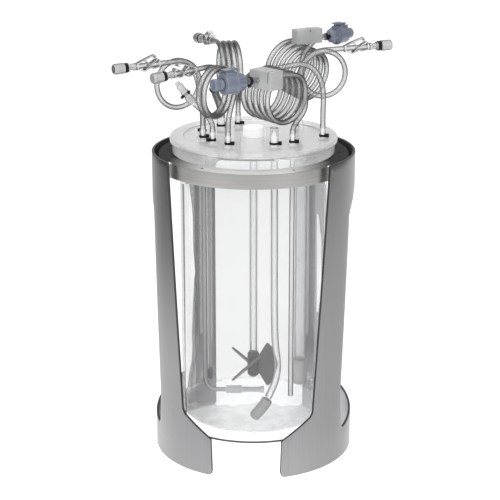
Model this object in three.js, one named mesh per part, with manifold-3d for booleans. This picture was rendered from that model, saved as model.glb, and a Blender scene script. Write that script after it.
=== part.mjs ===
// Bench bioreactor: single-use bag hung under a clear head plate, in a rolled
// steel stand, with a bottom stirrer and ten tubing lines on the head plate.
// Millimetres, +Z up, stand front at -Y. The origin is on the floor, in the middle
// of the stand's footprint: the front opening takes the sheet's front edge away,
// so the vessel's axis stands AXIS_Y from it.
import * as THREE from 'three';
import { mergeVertices } from 'three/addons/utils/BufferGeometryUtils.js';
import Module from 'manifold-3d';

const wasm = await Module();
wasm.setup();

// ---------------------------------------------------------------- dimensions
const GAP = 0.35;               // clearance left between touching pieces
const AXIS_Y = -3.57;           // the vessel's axis, from the origin
const HEAD_TURN = 4.3;          // degrees the head plate sits round from the stand's front

const SHELL_R = 122;            // stand, outer radius
const SHELL_T = 3;              // sheet thickness
const SHELL_H = 377;            // stand height
const FRONT_HALF_TOP = 51.2;    // front opening, half angle at the top edge
const FRONT_HALF_LOW = 40.0;    // front opening, half angle at the lower corner
const FRONT_FOOT_HALF = 19.7;   // front opening, half angle at the floor
const FRONT_LOW_Z = 73;         // height of the lower corner
const FRONT_FOOT_Z = 47;        // height where the foot's side starts
const SLOT_HALF = 28.7;         // rear slot, half angle
const SLOT_TOP = 335;           // rear slot, top edge

const RING_R = 113.5;           // support ring, outer radius
const RING_IN = 91.5;           // inner edge of its flange
const RING_TOP = 374.3;
const RING_H = 18;
const RING_T = 2.5;

const DISC_R = 106;             // base disc under the bag
const DISC_TOP = 42;
const DISC_T = 2.5;

const PLATE_R = 100.5;          // head plate rim
const PLATE_TOP = 394.6;
const PLATE_UNDER = 388;
const PLATE_SKIRT_R = 97.5;
const PLATE_SKIRT_IN = 92.2;
const RECESS_R = 83;
const RECESS_Z = 393;

const BAG_R = 89;
const BAG_T = 0.8;
const BAG_MOUTH_R = 90.6;
const BAG_FLOOR = DISC_TOP + GAP;

const HUB_R = 12.7;
const HUB_TOP = 404.5;
const HUB_LOW = 380;
const SHAFT_R = 4.7;
const SHAFT_LOW = 84.5;

const HOSE_R = 3.175;           // clear hose, outer radius
const WIDE_R = 4.8;             // wide-bore hose, outer radius
const BARB_TOP = 409;

const BLADES = 3;
const BLADE_REACH = 30.9;
const BLADE_HALF_CHORD = 29.9;
const IMPELLER_Z = 100;

// port positions on the head plate, in the head plate's own frame
const PORT = {
  t0: [-60.6, 9], t1: [-60, -21], t2: [-48, -38], t3: [-39.5, 40], t4: [-19, 51],
  t5: [-29.5, -57], t6: [24, -56], t7: [45.6, -46.5], t8: [51.6, 43], t9: [82, -16],
};
const WIDE_PORTS = ['t3', 't6'];

// ------------------------------------------------------------------- helpers
const D2R = Math.PI / 180;
const V = (x, y, z) => new THREE.Vector3(x, y, z);

function solid(geo) {
  const g = geo.clone();
  g.deleteAttribute('normal');
  if (g.getAttribute('uv')) g.deleteAttribute('uv');
  const m = mergeVertices(g, 1e-4);
  let idx = m.index.array;
  const pos = m.attributes.position.array;
  // zero-area corners left by a merge are dropped
  const keep = [];
  for (let i = 0; i < idx.length; i += 3) {
    const a = idx[i], b = idx[i + 1], c = idx[i + 2];
    if (a !== b && b !== c && a !== c) keep.push(a, b, c);
  }
  return new wasm.Manifold(new wasm.Mesh({
    numProp: 3, vertProperties: new Float32Array(pos), triVerts: new Uint32Array(keep),
  }));
}

function geometryOf(man) {
  const mesh = man.getMesh();
  const g = new THREE.BufferGeometry();
  g.setAttribute('position', new THREE.BufferAttribute(new Float32Array(mesh.vertProperties), 3));
  g.setIndex(new THREE.BufferAttribute(new Uint32Array(mesh.triVerts), 1));
  g.computeVertexNormals();
  return g;
}

function biggest(man) {
  const parts = man.decompose();
  parts.sort((a, b) => b.volume() - a.volume());
  return parts[0];
}

// a closed profile [r, z] turned about Z
function turned(profile, segments = 32) {
  const pts = profile.map(([r, z]) => new THREE.Vector2(r, z));
  const onAxis = Math.abs(profile[0][0]) < 1e-6 && Math.abs(profile[profile.length - 1][0]) < 1e-6;
  if (!onAxis) pts.push(pts[0].clone());
  const g = new THREE.LatheGeometry(pts, segments);
  g.rotateX(Math.PI / 2);       // lathe turns about Y; stand it up on Z
  let area = 0;
  for (let i = 0; i < pts.length - 1; i++) area += pts[i].x * pts[i + 1].y - pts[i + 1].x * pts[i].y;
  return fixWinding(g);
}

function fixWinding(g) {
  const p = g.attributes.position, ix = g.index ? g.index.array : null;
  let vol = 0;
  const n = ix ? ix.length : p.count;
  const a = V(0, 0, 0), b = V(0, 0, 0), c = V(0, 0, 0);
  for (let i = 0; i < n; i += 3) {
    const [i0, i1, i2] = ix ? [ix[i], ix[i + 1], ix[i + 2]] : [i, i + 1, i + 2];
    a.fromBufferAttribute(p, i0); b.fromBufferAttribute(p, i1); c.fromBufferAttribute(p, i2);
    vol += a.dot(b.cross(c));
  }
  if (vol < 0) {
    if (ix) for (let i = 0; i < ix.length; i += 3) { const t = ix[i]; ix[i] = ix[i + 1]; ix[i + 1] = t; }
    else {
      const arr = p.array;
      for (let i = 0; i < arr.length; i += 9) for (let k = 0; k < 3; k++) {
        const t = arr[i + k]; arr[i + k] = arr[i + 3 + k]; arr[i + 3 + k] = t;
      }
    }
  }
  return g;
}

function rod(r, z0, z1, sides = 16, x = 0, y = 0) {
  const g = new THREE.CylinderGeometry(r, r, z1 - z0, sides);
  g.rotateX(Math.PI / 2);
  g.translate(x, y, (z0 + z1) / 2);
  return g;
}

function block(x0, x1, y0, y1, z0, z1) {
  const g = new THREE.BoxGeometry(x1 - x0, y1 - y0, z1 - z0);
  g.translate((x0 + x1) / 2, (y0 + y1) / 2, (z0 + z1) / 2);
  return g;
}

// smooth route through control points, k samples per span
function route(ctrl, k = 6) {
  const P = ctrl.map((c) => V(...c));
  const out = [];
  for (let i = 0; i < P.length - 1; i++) {
    const p0 = P[Math.max(i - 1, 0)], p1 = P[i], p2 = P[i + 1], p3 = P[Math.min(i + 2, P.length - 1)];
    for (let j = 0; j < k; j++) {
      const t = j / k, t2 = t * t, t3 = t2 * t;
      const f = (a, b, c, d) => 0.5 * (2 * b + (c - a) * t + (2 * a - 5 * b + 4 * c - d) * t2 + (3 * b - a - 3 * c + d) * t3);
      out.push(V(f(p0.x, p1.x, p2.x, p3.x), f(p0.y, p1.y, p2.y, p3.y), f(p0.z, p1.z, p2.z, p3.z)));
    }
  }
  out.push(P[P.length - 1].clone());
  return out;
}

// points along a coil whose axis runs from A to B
function coilPoints(A, B, R, p, t0, t1, perTurn = 12) {
  const a = V(...A), b = V(...B), P = V(p[0], p[1], 0).normalize();
  const n = b.clone().sub(a).normalize();
  let U = new THREE.Vector3().crossVectors(P, n).normalize();
  if (U.z < 0) U.negate();
  const N = Math.max(2, Math.round(Math.abs(t1 - t0) / 360 * perTurn));
  const out = [];
  for (let i = 0; i <= N; i++) {
    const f = i / N, t = (t0 + (t1 - t0) * f) * D2R;
    out.push(a.clone().lerp(b, f).addScaledVector(P, R * Math.cos(t)).addScaledVector(U, R * Math.sin(t)));
  }
  return out.map((q) => [q.x, q.y, q.z]);
}

function lengthOf(pts) {
  let s = 0;
  for (let i = 1; i < pts.length; i++) s += pts[i].distanceTo(pts[i - 1]);
  return s;
}

// closed tube along points
function hose(pts, r, sides = 8, stepMm = 14) {
  const curve = new THREE.CatmullRomCurve3(pts, false, 'centripetal');
  const shape = new THREE.Shape();
  for (let i = 0; i < sides; i++) {
    const a = (i + 0.5) / sides * 2 * Math.PI;
    const x = r * Math.cos(a), y = r * Math.sin(a);
    if (i === 0) shape.moveTo(x, y); else shape.lineTo(x, y);
  }
  shape.closePath();
  const steps = Math.max(3, Math.round(lengthOf(pts) / stepMm));
  return fixWinding(new THREE.ExtrudeGeometry(shape, { steps, bevelEnabled: false, extrudePath: curve, curveSegments: 1 }));
}

// a turned piece laid along a direction: profile [r, s] with s from the start point
function along(geo, start, dir) {
  const q = new THREE.Quaternion().setFromUnitVectors(V(0, 0, 1), V(...dir).normalize());
  const g = geo.clone();
  g.applyMatrix4(new THREE.Matrix4().makeRotationFromQuaternion(q));
  g.translate(...start);
  return g;
}

// frame with X along dir, Z as near up as it can be
function frameOf(start, dir) {
  const x = V(...dir).normalize();
  const y = new THREE.Vector3().crossVectors(V(0, 0, 1), x).normalize();
  const z = new THREE.Vector3().crossVectors(x, y).normalize();
  return new THREE.Matrix4().makeBasis(x, y, z).setPosition(...start);
}

// polygon with rounded corners: points [s, z, radius]
function rounded(pts, seg = 3) {
  const out = [];
  const n = pts.length;
  for (let i = 0; i < n; i++) {
    const [x, z, r] = pts[i];
    if (!r) { out.push([x, z]); continue; }
    const [ax, az] = pts[(i + n - 1) % n], [bx, bz] = pts[(i + 1) % n];
    const da = Math.hypot(ax - x, az - z), db = Math.hypot(bx - x, bz - z);
    const ua = [(ax - x) / da, (az - z) / da], ub = [(bx - x) / db, (bz - z) / db];
    const cos = ua[0] * ub[0] + ua[1] * ub[1];
    const half = Math.acos(Math.max(-1, Math.min(1, cos))) / 2;
    const cut = Math.min(r / Math.tan(half), da * 0.49, db * 0.49);
    const p0 = [x + ua[0] * cut, z + ua[1] * cut], p1 = [x + ub[0] * cut, z + ub[1] * cut];
    for (let k = 0; k <= seg; k++) {
      const t = k / seg;
      out.push([(1 - t) * (1 - t) * p0[0] + 2 * t * (1 - t) * x + t * t * p1[0],
        (1 - t) * (1 - t) * p0[1] + 2 * t * (1 - t) * z + t * t * p1[1]]);
    }
  }
  return out;
}

const arc = (deg) => deg * D2R * SHELL_R;      // arc length on the stand's outer face

// cutter through the rolled sheet: outline [arc mm, z]
function radialPrism(outline, r0 = 60, r1 = 420) {
  const pts = outline.map(([s, z]) => new THREE.Vector2(s, z));
  if (THREE.ShapeUtils.area(pts) < 0) pts.reverse();
  const tris = THREE.ShapeUtils.triangulateShape(pts, []);
  const n = pts.length, pos = [], idx = [];
  for (const r of [r0, r1]) for (const q of pts) {
    const a = q.x / SHELL_R;
    pos.push(r * Math.sin(a), -r * Math.cos(a), q.y);
  }
  for (const [a, b, c] of tris) { idx.push(a, c, b); idx.push(a + n, b + n, c + n); }
  for (let i = 0; i < n; i++) { const j = (i + 1) % n; idx.push(i, j, j + n, i, j + n, i + n); }
  const g = new THREE.BufferGeometry();
  g.setAttribute('position', new THREE.Float32BufferAttribute(pos, 3));
  g.setIndex(idx);
  return fixWinding(g);
}

// ----------------------------------------------------------------- materials
const mat = (color, roughness, metalness = 0, opacity = 1) => new THREE.MeshStandardMaterial({
  color, roughness, metalness, opacity, transparent: opacity < 1,
});
const STEEL = mat(0x9a9c9d, 0.38, 1);
const CLEAR = mat(0xe8eced, 0.12, 0, 0.35);
const MILKY = mat(0xe9ecec, 0.35, 0, 0.75);
const WHITE = mat(0xf3f3f2, 0.4);
const FILM = mat(0xf2f5f6, 0.15, 0, 0.25);
const DARK = mat(0x55575a, 0.5);
const GREY = mat(0xa2a4a5, 0.7);
const BLOCKG = mat(0xc6c9c6, 0.55);
const BLUE = mat(0x8c94b0, 0.35, 0, 0.85);
const HOSEM = mat(0xcfd3d6, 0.15, 0, 0.45);
const BRIGHT = mat(0xb9bbbd, 0.2, 1);
const VIOLET = mat(0x4a4658, 0.5);

const root = new THREE.Group();
const stand = new THREE.Group();
const head = new THREE.Group();
head.rotation.z = HEAD_TURN * D2R;
stand.position.y = AXIS_Y;
head.position.y = AXIS_Y;
root.add(stand, head);

const names = new Set();
function put(group, name, geo, material) {
  if (names.has(name)) throw new Error('repeated ' + name);
  names.add(name);
  const m = new THREE.Mesh(geo, material);
  m.name = name;
  group.add(m);
  return m;
}

// --------------------------------------------------------------------- stand
{
  let s = solid(turned([[SHELL_R - SHELL_T, 0], [SHELL_R, 0], [SHELL_R, SHELL_H], [SHELL_R - SHELL_T, SHELL_H]], 80));
  // front opening, from the top edge down through the floor
  const side = [
    [arc(FRONT_HALF_TOP) + 0.6, SHELL_H + 12, 0],
    [arc(FRONT_HALF_LOW), FRONT_LOW_Z, 9],
    [arc(FRONT_FOOT_HALF + 0.6), FRONT_FOOT_Z, 4],
    [arc(FRONT_FOOT_HALF), 0, 0],
  ];
  const foot = 5.5;
  const right = [
    ...side.slice(0, 3), [arc(FRONT_FOOT_HALF), foot + 2, 0],
    [arc(FRONT_FOOT_HALF), foot, 0], [arc(FRONT_FOOT_HALF) + foot * 0.3, foot * 0.3, 0],
    [arc(FRONT_FOOT_HALF) + foot, 0, 0], [arc(FRONT_FOOT_HALF) + foot, -6, 0],
  ];
  const left = right.map(([x, z, r]) => [-x, z, r]).reverse();
  s = s.subtract(solid(radialPrism(rounded([...right, ...left]))));
  // rear slot with rounded feet, closed by the band at the top
  const h = arc(SLOT_HALF);
  const slotR = [[h, SLOT_TOP, 12], [h, foot + 2, 0], [h, foot, 0], [h + foot * 0.3, foot * 0.3, 0], [h + foot, 0, 0], [h + foot, -6, 0]];
  const slotL = slotR.map(([x, z, r]) => [-x, z, r]).reverse();
  const slot = radialPrism(rounded([...slotR, ...slotL]));
  slot.rotateZ(Math.PI);
  s = s.subtract(solid(slot));
  // side windows
  const win = [
    [arc(66.4), 37, 9], [arc(78), 40.5, 60], [arc(117), 54, 30], [arc(136.5), 60, 9],
    [arc(136.5), 335, 10], [arc(87.5), 335, 8], [arc(73.4), 309, 8], [arc(64.6), 86, 30],
  ];
  s = s.subtract(solid(radialPrism(rounded(win))));
  const winL = win.map(([x, z, r], i) => [-(i === 3 || i === 4 ? arc(131) : x), z, r]).reverse();
  s = s.subtract(solid(radialPrism(rounded(winL))));
  put(stand, 'stand_shell', geometryOf(biggest(s)), STEEL);

  let ring = solid(turned([
    [RING_R - RING_T, RING_TOP - RING_H], [RING_R, RING_TOP - RING_H], [RING_R, RING_TOP],
    [RING_IN, RING_TOP], [RING_IN, RING_TOP - RING_T], [RING_R - RING_T, RING_TOP - RING_T],
  ], 48));
  for (const a of [54.6, 144, -54.6, -144]) {
    const t = block(RING_R - 2, SHELL_R - SHELL_T - GAP - 0.25, -3, 3, RING_TOP - RING_H, RING_TOP);
    t.rotateZ((a - 90) * D2R);
    ring = ring.add(solid(t));
  }
  for (const a of [30.8, 90, 149.2, -30.8, -90, -149.2]) {
    const c = rod(1.9, RING_TOP - 4, RING_TOP + 1, 8);
    c.translate(103.2 * Math.sin(a * D2R), -103.2 * Math.cos(a * D2R), 0);
    ring = ring.subtract(solid(c));
  }
  put(stand, 'support_ring', geometryOf(ring), STEEL);

  let disc = solid(turned([[0, DISC_TOP - DISC_T], [DISC_R, DISC_TOP - DISC_T], [DISC_R, DISC_TOP], [0, DISC_TOP]], 48));
  for (const a of [50, 145, -50, -145]) {
    const t = block(DISC_R - 3, SHELL_R - SHELL_T - GAP - 0.25, -8, 8, DISC_TOP - DISC_T, DISC_TOP);
    t.rotateZ((a - 90) * D2R);
    disc = disc.add(solid(t));
  }
  put(stand, 'base_disc', geometryOf(disc), CLEAR);
}

// ------------------------------------------------- head plate, drive and bag
{
  let plate = solid(turned([
    [0, PLATE_UNDER], [PLATE_SKIRT_IN, PLATE_UNDER], [PLATE_SKIRT_IN, RING_TOP + GAP], [PLATE_SKIRT_R - 1, RING_TOP + GAP],
    [PLATE_SKIRT_R, RING_TOP + 1.4], [PLATE_SKIRT_R, PLATE_UNDER], [PLATE_R, PLATE_UNDER + 1],
    [PLATE_R, PLATE_TOP - 1.2], [PLATE_R - 1.2, PLATE_TOP], [RECESS_R + 1, PLATE_TOP], [RECESS_R, RECESS_Z], [0, RECESS_Z],
  ], 56));
  for (const [name, [x, y]] of Object.entries(PORT)) {
    const wide = WIDE_PORTS.includes(name);
    const rb = wide ? 3.7 : 2.4;
    plate = plate.add(solid(rod(name === 't9' ? 5.4 : 6.2, RING_TOP + 2, RECESS_Z - 1, 10, x, y)));
    const barb = turned([[0, RECESS_Z - 2], [rb, RECESS_Z - 2], [rb, 404], [rb + 0.5, 404.4], [rb - 0.7, BARB_TOP], [0, BARB_TOP]], 10);
    barb.translate(x, y, 0);
    plate = plate.add(solid(barb));
  }
  // seat for the drive hub
  plate = plate.subtract(solid(rod(HUB_R + GAP, PLATE_UNDER - 20, PLATE_TOP + 4, 28)));
  plate = plate.add(solid(turned([[HUB_R + GAP, PLATE_UNDER - 2.5], [HUB_R + 3, PLATE_UNDER - 2.5], [HUB_R + 3, PLATE_UNDER + 1], [HUB_R + GAP, PLATE_UNDER + 1]], 28)));
  put(head, 'head_plate', geometryOf(biggest(plate)), MILKY);

  put(head, 'drive_hub', turned([
    [0, HUB_TOP], [0, HUB_TOP - 2], [HUB_R - 2, HUB_TOP - 2], [HUB_R - 2, HUB_LOW], [HUB_R, HUB_LOW],
    [HUB_R, HUB_TOP - 1], [HUB_R - 1, HUB_TOP],
  ], 24), WHITE);
  put(head, 'drive_magnet', turned([
    [0, 388.5], [HUB_R - 3.2, 388.5], [HUB_R - 3.2, HUB_TOP - 3.5], [0, HUB_TOP - 3.5],
  ], 24), DARK);
  put(head, 'shaft_bearing', turned([
    [SHAFT_R + GAP, HUB_LOW + 0.5], [HUB_R - 2 - GAP, HUB_LOW + 0.5], [HUB_R - 2 - GAP, 386.5], [SHAFT_R + GAP, 386.5],
  ], 24), WHITE);
  put(head, 'stirrer_shaft', turned([
    [0, SHAFT_LOW + 18], [SHAFT_R, SHAFT_LOW + 18], [SHAFT_R, 388.1], [0, 388.1],
  ], 20), CLEAR);

  const wall = [
    [83, BAG_FLOOR], [86.4, BAG_FLOOR + 1.6], [88.2, BAG_FLOOR + 5.5], [BAG_R, BAG_FLOOR + 14],
    [BAG_R, 358], [BAG_MOUTH_R, 376], [BAG_MOUTH_R, PLATE_UNDER - GAP],
  ];
  const inner = wall.map(([r, z], i) => [r - BAG_T - (i === 0 ? 0.6 : 0), i === 0 ? z + BAG_T : (i < 3 ? z + 0.5 : z)]).reverse();
  inner[0][1] = PLATE_UNDER - GAP;
  put(head, 'bag', turned([[0, BAG_FLOOR], ...wall, ...inner, [0, BAG_FLOOR + BAG_T]], 32), FILM);
}

// ------------------------------------------------------------------ impeller
{
  const hubR = 7.2;
  let imp = solid(turned([
    [0, SHAFT_LOW], [4.6, SHAFT_LOW], [hubR, SHAFT_LOW + 3], [hubR, SHAFT_LOW + 30.5], [5.9, SHAFT_LOW + 32], [0, SHAFT_LOW + 32],
  ], 20));
  // the shaft's end sits in the hub's socket
  imp = imp.subtract(solid(rod(SHAFT_R + GAP, SHAFT_LOW + 17.6, SHAFT_LOW + 34, 20)));
  const half = [
    [5.6, 9.5, 0], [17.2, BLADE_HALF_CHORD, 2.2], [24.6, 22, 14], [BLADE_REACH, 0, 0],
  ];
  const outline = [...half, ...half.slice(0, 3).reverse().map(([x, z, r]) => [x, -z, r])];
  const pts = rounded(outline, 4).map(([x, z]) => new THREE.Vector2(x, z));
  pts.reverse();
  for (let b = 0; b < BLADES; b++) {
    const g = fixWinding(new THREE.ExtrudeGeometry(new THREE.Shape(pts), { depth: 2.4, bevelEnabled: false, steps: 1 }));
    // blade plane: X is the reach, Y the chord; lay the chord up, then pitch it 45 degrees
    g.translate(0, 0, -1.2);
    g.rotateX(Math.PI / 2);
    g.rotateX(-45 * D2R);
    g.rotateZ(b * 120 * D2R);
    g.translate(0, 0, IMPELLER_Z);
    imp = imp.add(solid(g).subtract(solid(rod(SHAFT_R + GAP, SHAFT_LOW + 17.6, SHAFT_LOW + 40, 20))));
  }
  put(head, 'impeller', geometryOf(biggest(imp)), DARK);
}

// ------------------------------------------- tubes and probes inside the bag
{
  const top = PLATE_UNDER - GAP - 0.1;
  const hang = RING_TOP + 2 - GAP;              // under a port boss
  const dip = [[24.4, -56, hang], [24.6, -56, 330], [24.9, -56, 250], [25.2, -56, 190], [26.3, -56, 152], [28.6, -56.3, 130], [29.2, -57, 116], [26.6, -58, 101], [21.6, -59.3, 88], [18.2, -60, 80.3]];
  put(head, 'dip_tube', hose(route(dip, 4), 4.35, 10, 18), CLEAR);
  const tip = [[17.0, -60.2, 77.6], [13.9, -60.7, 71.9], [8.5, -61.3, 64.5], [3, -61.7, 58.2], [-1.2, -62, 53.6]];
  let tipS = solid(hose(route(tip, 3), 6.9, 12, 5));
  const ball = new THREE.SphereGeometry(6.85, 12, 8); ball.translate(-1.2, -62, 53.6);
  tipS = tipS.add(solid(ball));
  put(head, 'dip_tube_tip', geometryOf(biggest(tipS)), GREY);

  let sample = solid(rod(3.15, 77, hang, 12, 45.6, -46.5)).subtract(solid(rod(2.2, 76, 120, 10, 45.6, -46.5)));
  put(head, 'sample_tube', geometryOf(sample), BRIGHT);

  put(head, 'sensor_sleeve', rod(7.4, 95.5, hang, 16, 58.8, 30), CLEAR);
  put(head, 'sensor_cap', (() => { const g = turned([[0, 63.5], [8.6, 63.5], [9.4, 64.5], [9.4, 94], [8.4, 95.1], [0, 95.1]], 20); g.translate(58.8, 30, 0); return g; })(), GREY);

  const sp = [[-60.6, 9, hang], [-60.6, 9, 330], [-60.6, 9, 250], [-60.6, 9, 150], [-60.6, 9, 86], [-60.2, 9, 76], [-57.4, 9, 67.4], [-51, 9, 62.9], [-44, 9, 62.2], [-34.9, 9, 62.2]];
  put(head, 'sparger_pipe', hose(route(sp, 4), 2.6, 8, 16), BRIGHT);
  const lay = (profile) => along(turned(profile, 14), [-34.5, 9, 62.2], [1, 0, 0]);
  put(head, 'sparger_sleeve', lay([[0, 0], [4.4, 0], [4.9, 0.6], [4.9, 19.6], [4.3, 20.2], [0, 20.2]]), GREY);
  put(head, 'sparger_tip', lay([[0, 20.6], [3.2, 20.6], [3.2, 43], [4.3, 43.6], [4.3, 47.4], [3.8, 48], [0, 48]]), GREY);

  put(head, 'probe_tube', rod(4.1, 97, hang, 14, -53.8, -8), CLEAR);
  put(head, 'probe_tip', (() => { const g = turned([[0, 84.2], [3, 84.2], [3.7, 85.4], [3.7, 96.6], [0, 96.6]], 14); g.translate(-53.8, -8, 0); return g; })(), VIOLET);
  void top;
}

// ------------------------------------------------------------- tubing lines
// coil: axis from A to B, radius R, p the horizontal direction in the coil's plane
const COIL = {
  left_rear: { A: [-20.8, 50.2, 469.3], B: [-42.4, 45.8, 469.3], R: 27, p: [0.2, -0.98], t0: 0, t1: 360 * 3.25 },
  left_front: { A: [-37.6, -54.6, 456.2], B: [-50.8, -45.4, 456.2], R: 28.4, p: [0.574, 0.819], t0: 0, t1: 360 * 2.25 },
  front: { A: [7.9, -28.9, 453.7], B: [41, -62, 450.6], R: 29, p: [0.707, 0.707], t0: 150, t1: 54 + 360 * 5 },
  right_rear: { A: [36, 66, 470], B: [72, 30, 458], R: 29, p: [0.707, 0.707], t0: 270, t1: 90 - 360 * 5 },
};
function ringOf(c, grow = 0) {
  const a = V(...c.A), b = V(...c.B), d = b.clone().sub(a), L = d.length();
  const e = HOSE_R + 0.25 + grow;
  return along(turned([[c.R - e, -e], [c.R + e, -e], [c.R + e, L + e], [c.R - e, L + e]], 28), c.A, [d.x, d.y, d.z]);
}

const [p0, p1, p2, p3, p4, p5, p6, p7, p8, p9] = Object.values(PORT);
const up = (p, z) => [p[0], p[1], z];
const start = BARB_TOP + GAP;

const C = COIL;
const lines = {};
// left line: one and a quarter turns, then its tail to the left
{
  const A = [-91.7, 3.4, 455.6], B = [-87.7, -3, 455.6], p = [0.848, 0.53];
  const coil = coilPoints(A, B, 28, p, 8, 450, 14);
  const end = coil[coil.length - 1];
  lines.left = { pts: [up(p0, start), up(p0, 418), [-61.6, 10.4, 430], [-65, 15, 446], ...coil], tailFrom: end, dir: [-0.848, -0.5, -0.02], tail: 26 };
}
// right line: up the left side, once and a quarter round, tail to the right
{
  const A = [81.9, 1.4, 467.3], B = [83.9, 8.6, 467.3], p = [0.966, 0.26];
  const coil = coilPoints(A, B, 27.4, p, 172, 90 - 360, 14);
  const end = coil[coil.length - 1];
  lines.right = { pts: [up(p7, start), [46.4, -45.7, 414], [51, -41.2, 420.5], [57.4, -35, 427.6], [61, -28.5, 437], [60, -17.5, 449], ...coil], tailFrom: end, dir: [0.962, 0.27, 0.03], tail: 24 };
}
const straight = (from, dir, s0, s1) => {
  const d = V(...dir).normalize();
  return [0, 0.5, 1].map((f) => { const s = s0 + (s1 - s0) * f; return [from[0] + d.x * s, from[1] + d.y * s, from[2] + d.z * s]; });
};

// a line's end fittings: pinch clamp, connector body with its ring, screw cap
const CLAMP_L = 31, NECK = 10, END_GAP = 0.4;
function endFittings(name, from, dir, s0, leverToCap) {
  const M = frameOf(from, dir);
  const place = (g) => { g.applyMatrix4(M); return g; };
  // clamp side profile, X along the hose, Y up; hose at 0
  const w = 3.9, x0 = s0, x1 = s0 + CLAMP_L;
  const outer = [[0, -2.6], [2.4, -3.4], [10.8, -6.4], [13, -6.2], [19.6, -4.6], [24.6, -4.7], [28.6, -3.6], [CLAMP_L, -3.6], [CLAMP_L, 3.8], [27.6, 6.9], [25.4, 9.4], [25, 11.4], [23.6, 11.7], [0.6, 4.2], [0, 3.4]];
  const hole = [[7, 5.0], [21.4, 9.7], [17.4, 5.0]];
  const flip = (q) => leverToCap ? q.map(([x, y]) => [CLAMP_L - x, y]).reverse() : q;
  const sh = new THREE.Shape(flip(outer).map(([x, y]) => new THREE.Vector2(x, y)));
  sh.holes.push(new THREE.Path(flip(hole).map(([x, y]) => new THREE.Vector2(x, y))));
  const g = new THREE.ExtrudeGeometry(sh, { depth: 2 * w, bevelEnabled: false, steps: 1 });
  g.translate(0, 0, -w);
  g.rotateX(Math.PI / 2);
  g.translate(x0, 0, 0);
  const lying = (r, a, b) => { const t = new THREE.CylinderGeometry(r, r, b - a, 14); t.rotateZ(Math.PI / 2); t.translate((a + b) / 2, 0, 0); return t; };
  const clamp = solid(fixWinding(g)).add(solid(lying(4.4, x0, x0 + 2.2))).add(solid(lying(4.4, x1 - 2.2, x1)))
    .subtract(solid(lying(HOSE_R + GAP, x0 - 2, x1 + 2)));
  put(head, name + '_pinch_clamp', place(geometryOf(biggest(clamp))), CLEAR);
  const b0 = x1 + 1.2;
  const turnX = (profile, n) => { const t = turned(profile, n); t.rotateY(Math.PI / 2); return t; };
  const body = turnX([[0, b0], [4.3, b0], [4.3, b0 + 2.4], [3.5, b0 + 3.4], [3.5, b0 + NECK - 2], [5.6, b0 + NECK - 1.4],
    [5.6, b0 + NECK + 3.4], [3.1, b0 + NECK + 4], [3.1, b0 + NECK + 14], [0, b0 + NECK + 14]], 12);
  put(head, name + '_connector', place(fixWinding(body)), MILKY);
  const c0 = b0 + NECK + 4.6, c1 = c0 + 13;
  const cap = turnX([[0, c1], [5.7, c1], [6.2, c1 - 0.8], [6.2, c0], [3.5, c0], [3.5, c1 - 2.2], [0, c1 - 2.2]], 14);
  put(head, name + '_cap', place(fixWinding(cap)), MILKY);
  return b0 - END_GAP;          // where the hose ends
}

for (const [name, lever] of [['left', false], ['right', true]]) {
  const L = lines[name];
  const endS = endFittings(name, L.tailFrom, L.dir, L.tail, lever);
  const pts = [...L.pts, ...straight(L.tailFrom, L.dir, 12, endS)];
  put(head, name + '_hose', hose(route(pts, 3), HOSE_R, 8, 13), HOSEM);
  L.full = pts;
}

// left front and left rear lines: riser, coil, tail
const TAILS = {
  left_front: { dir: [-0.79, -0.61, -0.06], s: 14 },
  left_rear: { dir: [-0.35, 0.932, -0.095], s: 14 },
};
const RISER = {
  left_front: [up(p5, start), up(p5, 418), [-28.4, -53.6, 429], [-24.9, -45, 441.5], [-21.8, -35, 452]],
  left_rear: [up(p4, start), up(p4, 417), [-18.3, 47, 427], [-17, 38.5, 437], [-16, 28, 447], [-15.4, 22.5, 457]],
  front: [up(p9, start), up(p9, 425), [82.2, -16, 443], [80.8, -16, 457], [75.5, -16, 470.5], [67, -16, 479], [57, -15, 482], [44, -11.5, 480], [30, -7.5, 476.5], [17, -8.5, 474.5], [5, -17, 474.5], [-3.5, -31, 473.5]],
  right_rear: [up(p8, start), [52.6, 44, 409], [56.5, 50, 416], [59.5, 60, 423], [57, 71, 431], [48.5, 75.5, 438.5]],
};
for (const name of ['left_front', 'left_rear']) {
  const c = C[name], keepOut = solid(ringOf(c, GAP));
  const coil = coilPoints(c.A, c.B, c.R, c.p, c.t0, c.t1);
  const top = coil[coil.length - 1];
  put(head, name + '_coil', ringOf(c), HOSEM);
  const riserPts = route([...RISER[name], ...coil.slice(0, 3)], 3);
  put(head, name + '_riser', geometryOf(biggest(solid(hose(riserPts, HOSE_R, 8, 11)).subtract(keepOut))), HOSEM);
  const t = TAILS[name];
  const bend = [top[0] + (name === 'left_rear' ? -2.6 : -4.6), top[1] + (name === 'left_rear' ? 11 : -6.6), top[2] + (name === 'left_rear' ? 0.4 : 0.6)];
  const endS = endFittings(name, bend, t.dir, t.s, name !== 'left_rear');
  const tailPts = route([...coil.slice(-3), bend, ...straight(bend, t.dir, 9, endS)], 3);
  put(head, name + '_tail', geometryOf(biggest(solid(hose(tailPts, HOSE_R, 8, 11)).subtract(keepOut))), HOSEM);
}
for (const name of ['front', 'right_rear']) {
  const c = C[name], keepOut = solid(ringOf(c, GAP));
  const coil = coilPoints(c.A, c.B, c.R, c.p, c.t0, c.t1);
  put(head, name + '_coil', ringOf(c), HOSEM);
  const riserPts = route([...RISER[name], ...coil.slice(0, 2)], 3);
  put(head, name + '_riser', geometryOf(biggest(solid(hose(riserPts, HOSE_R, 8, 12)).subtract(keepOut))), HOSEM);
}

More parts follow.
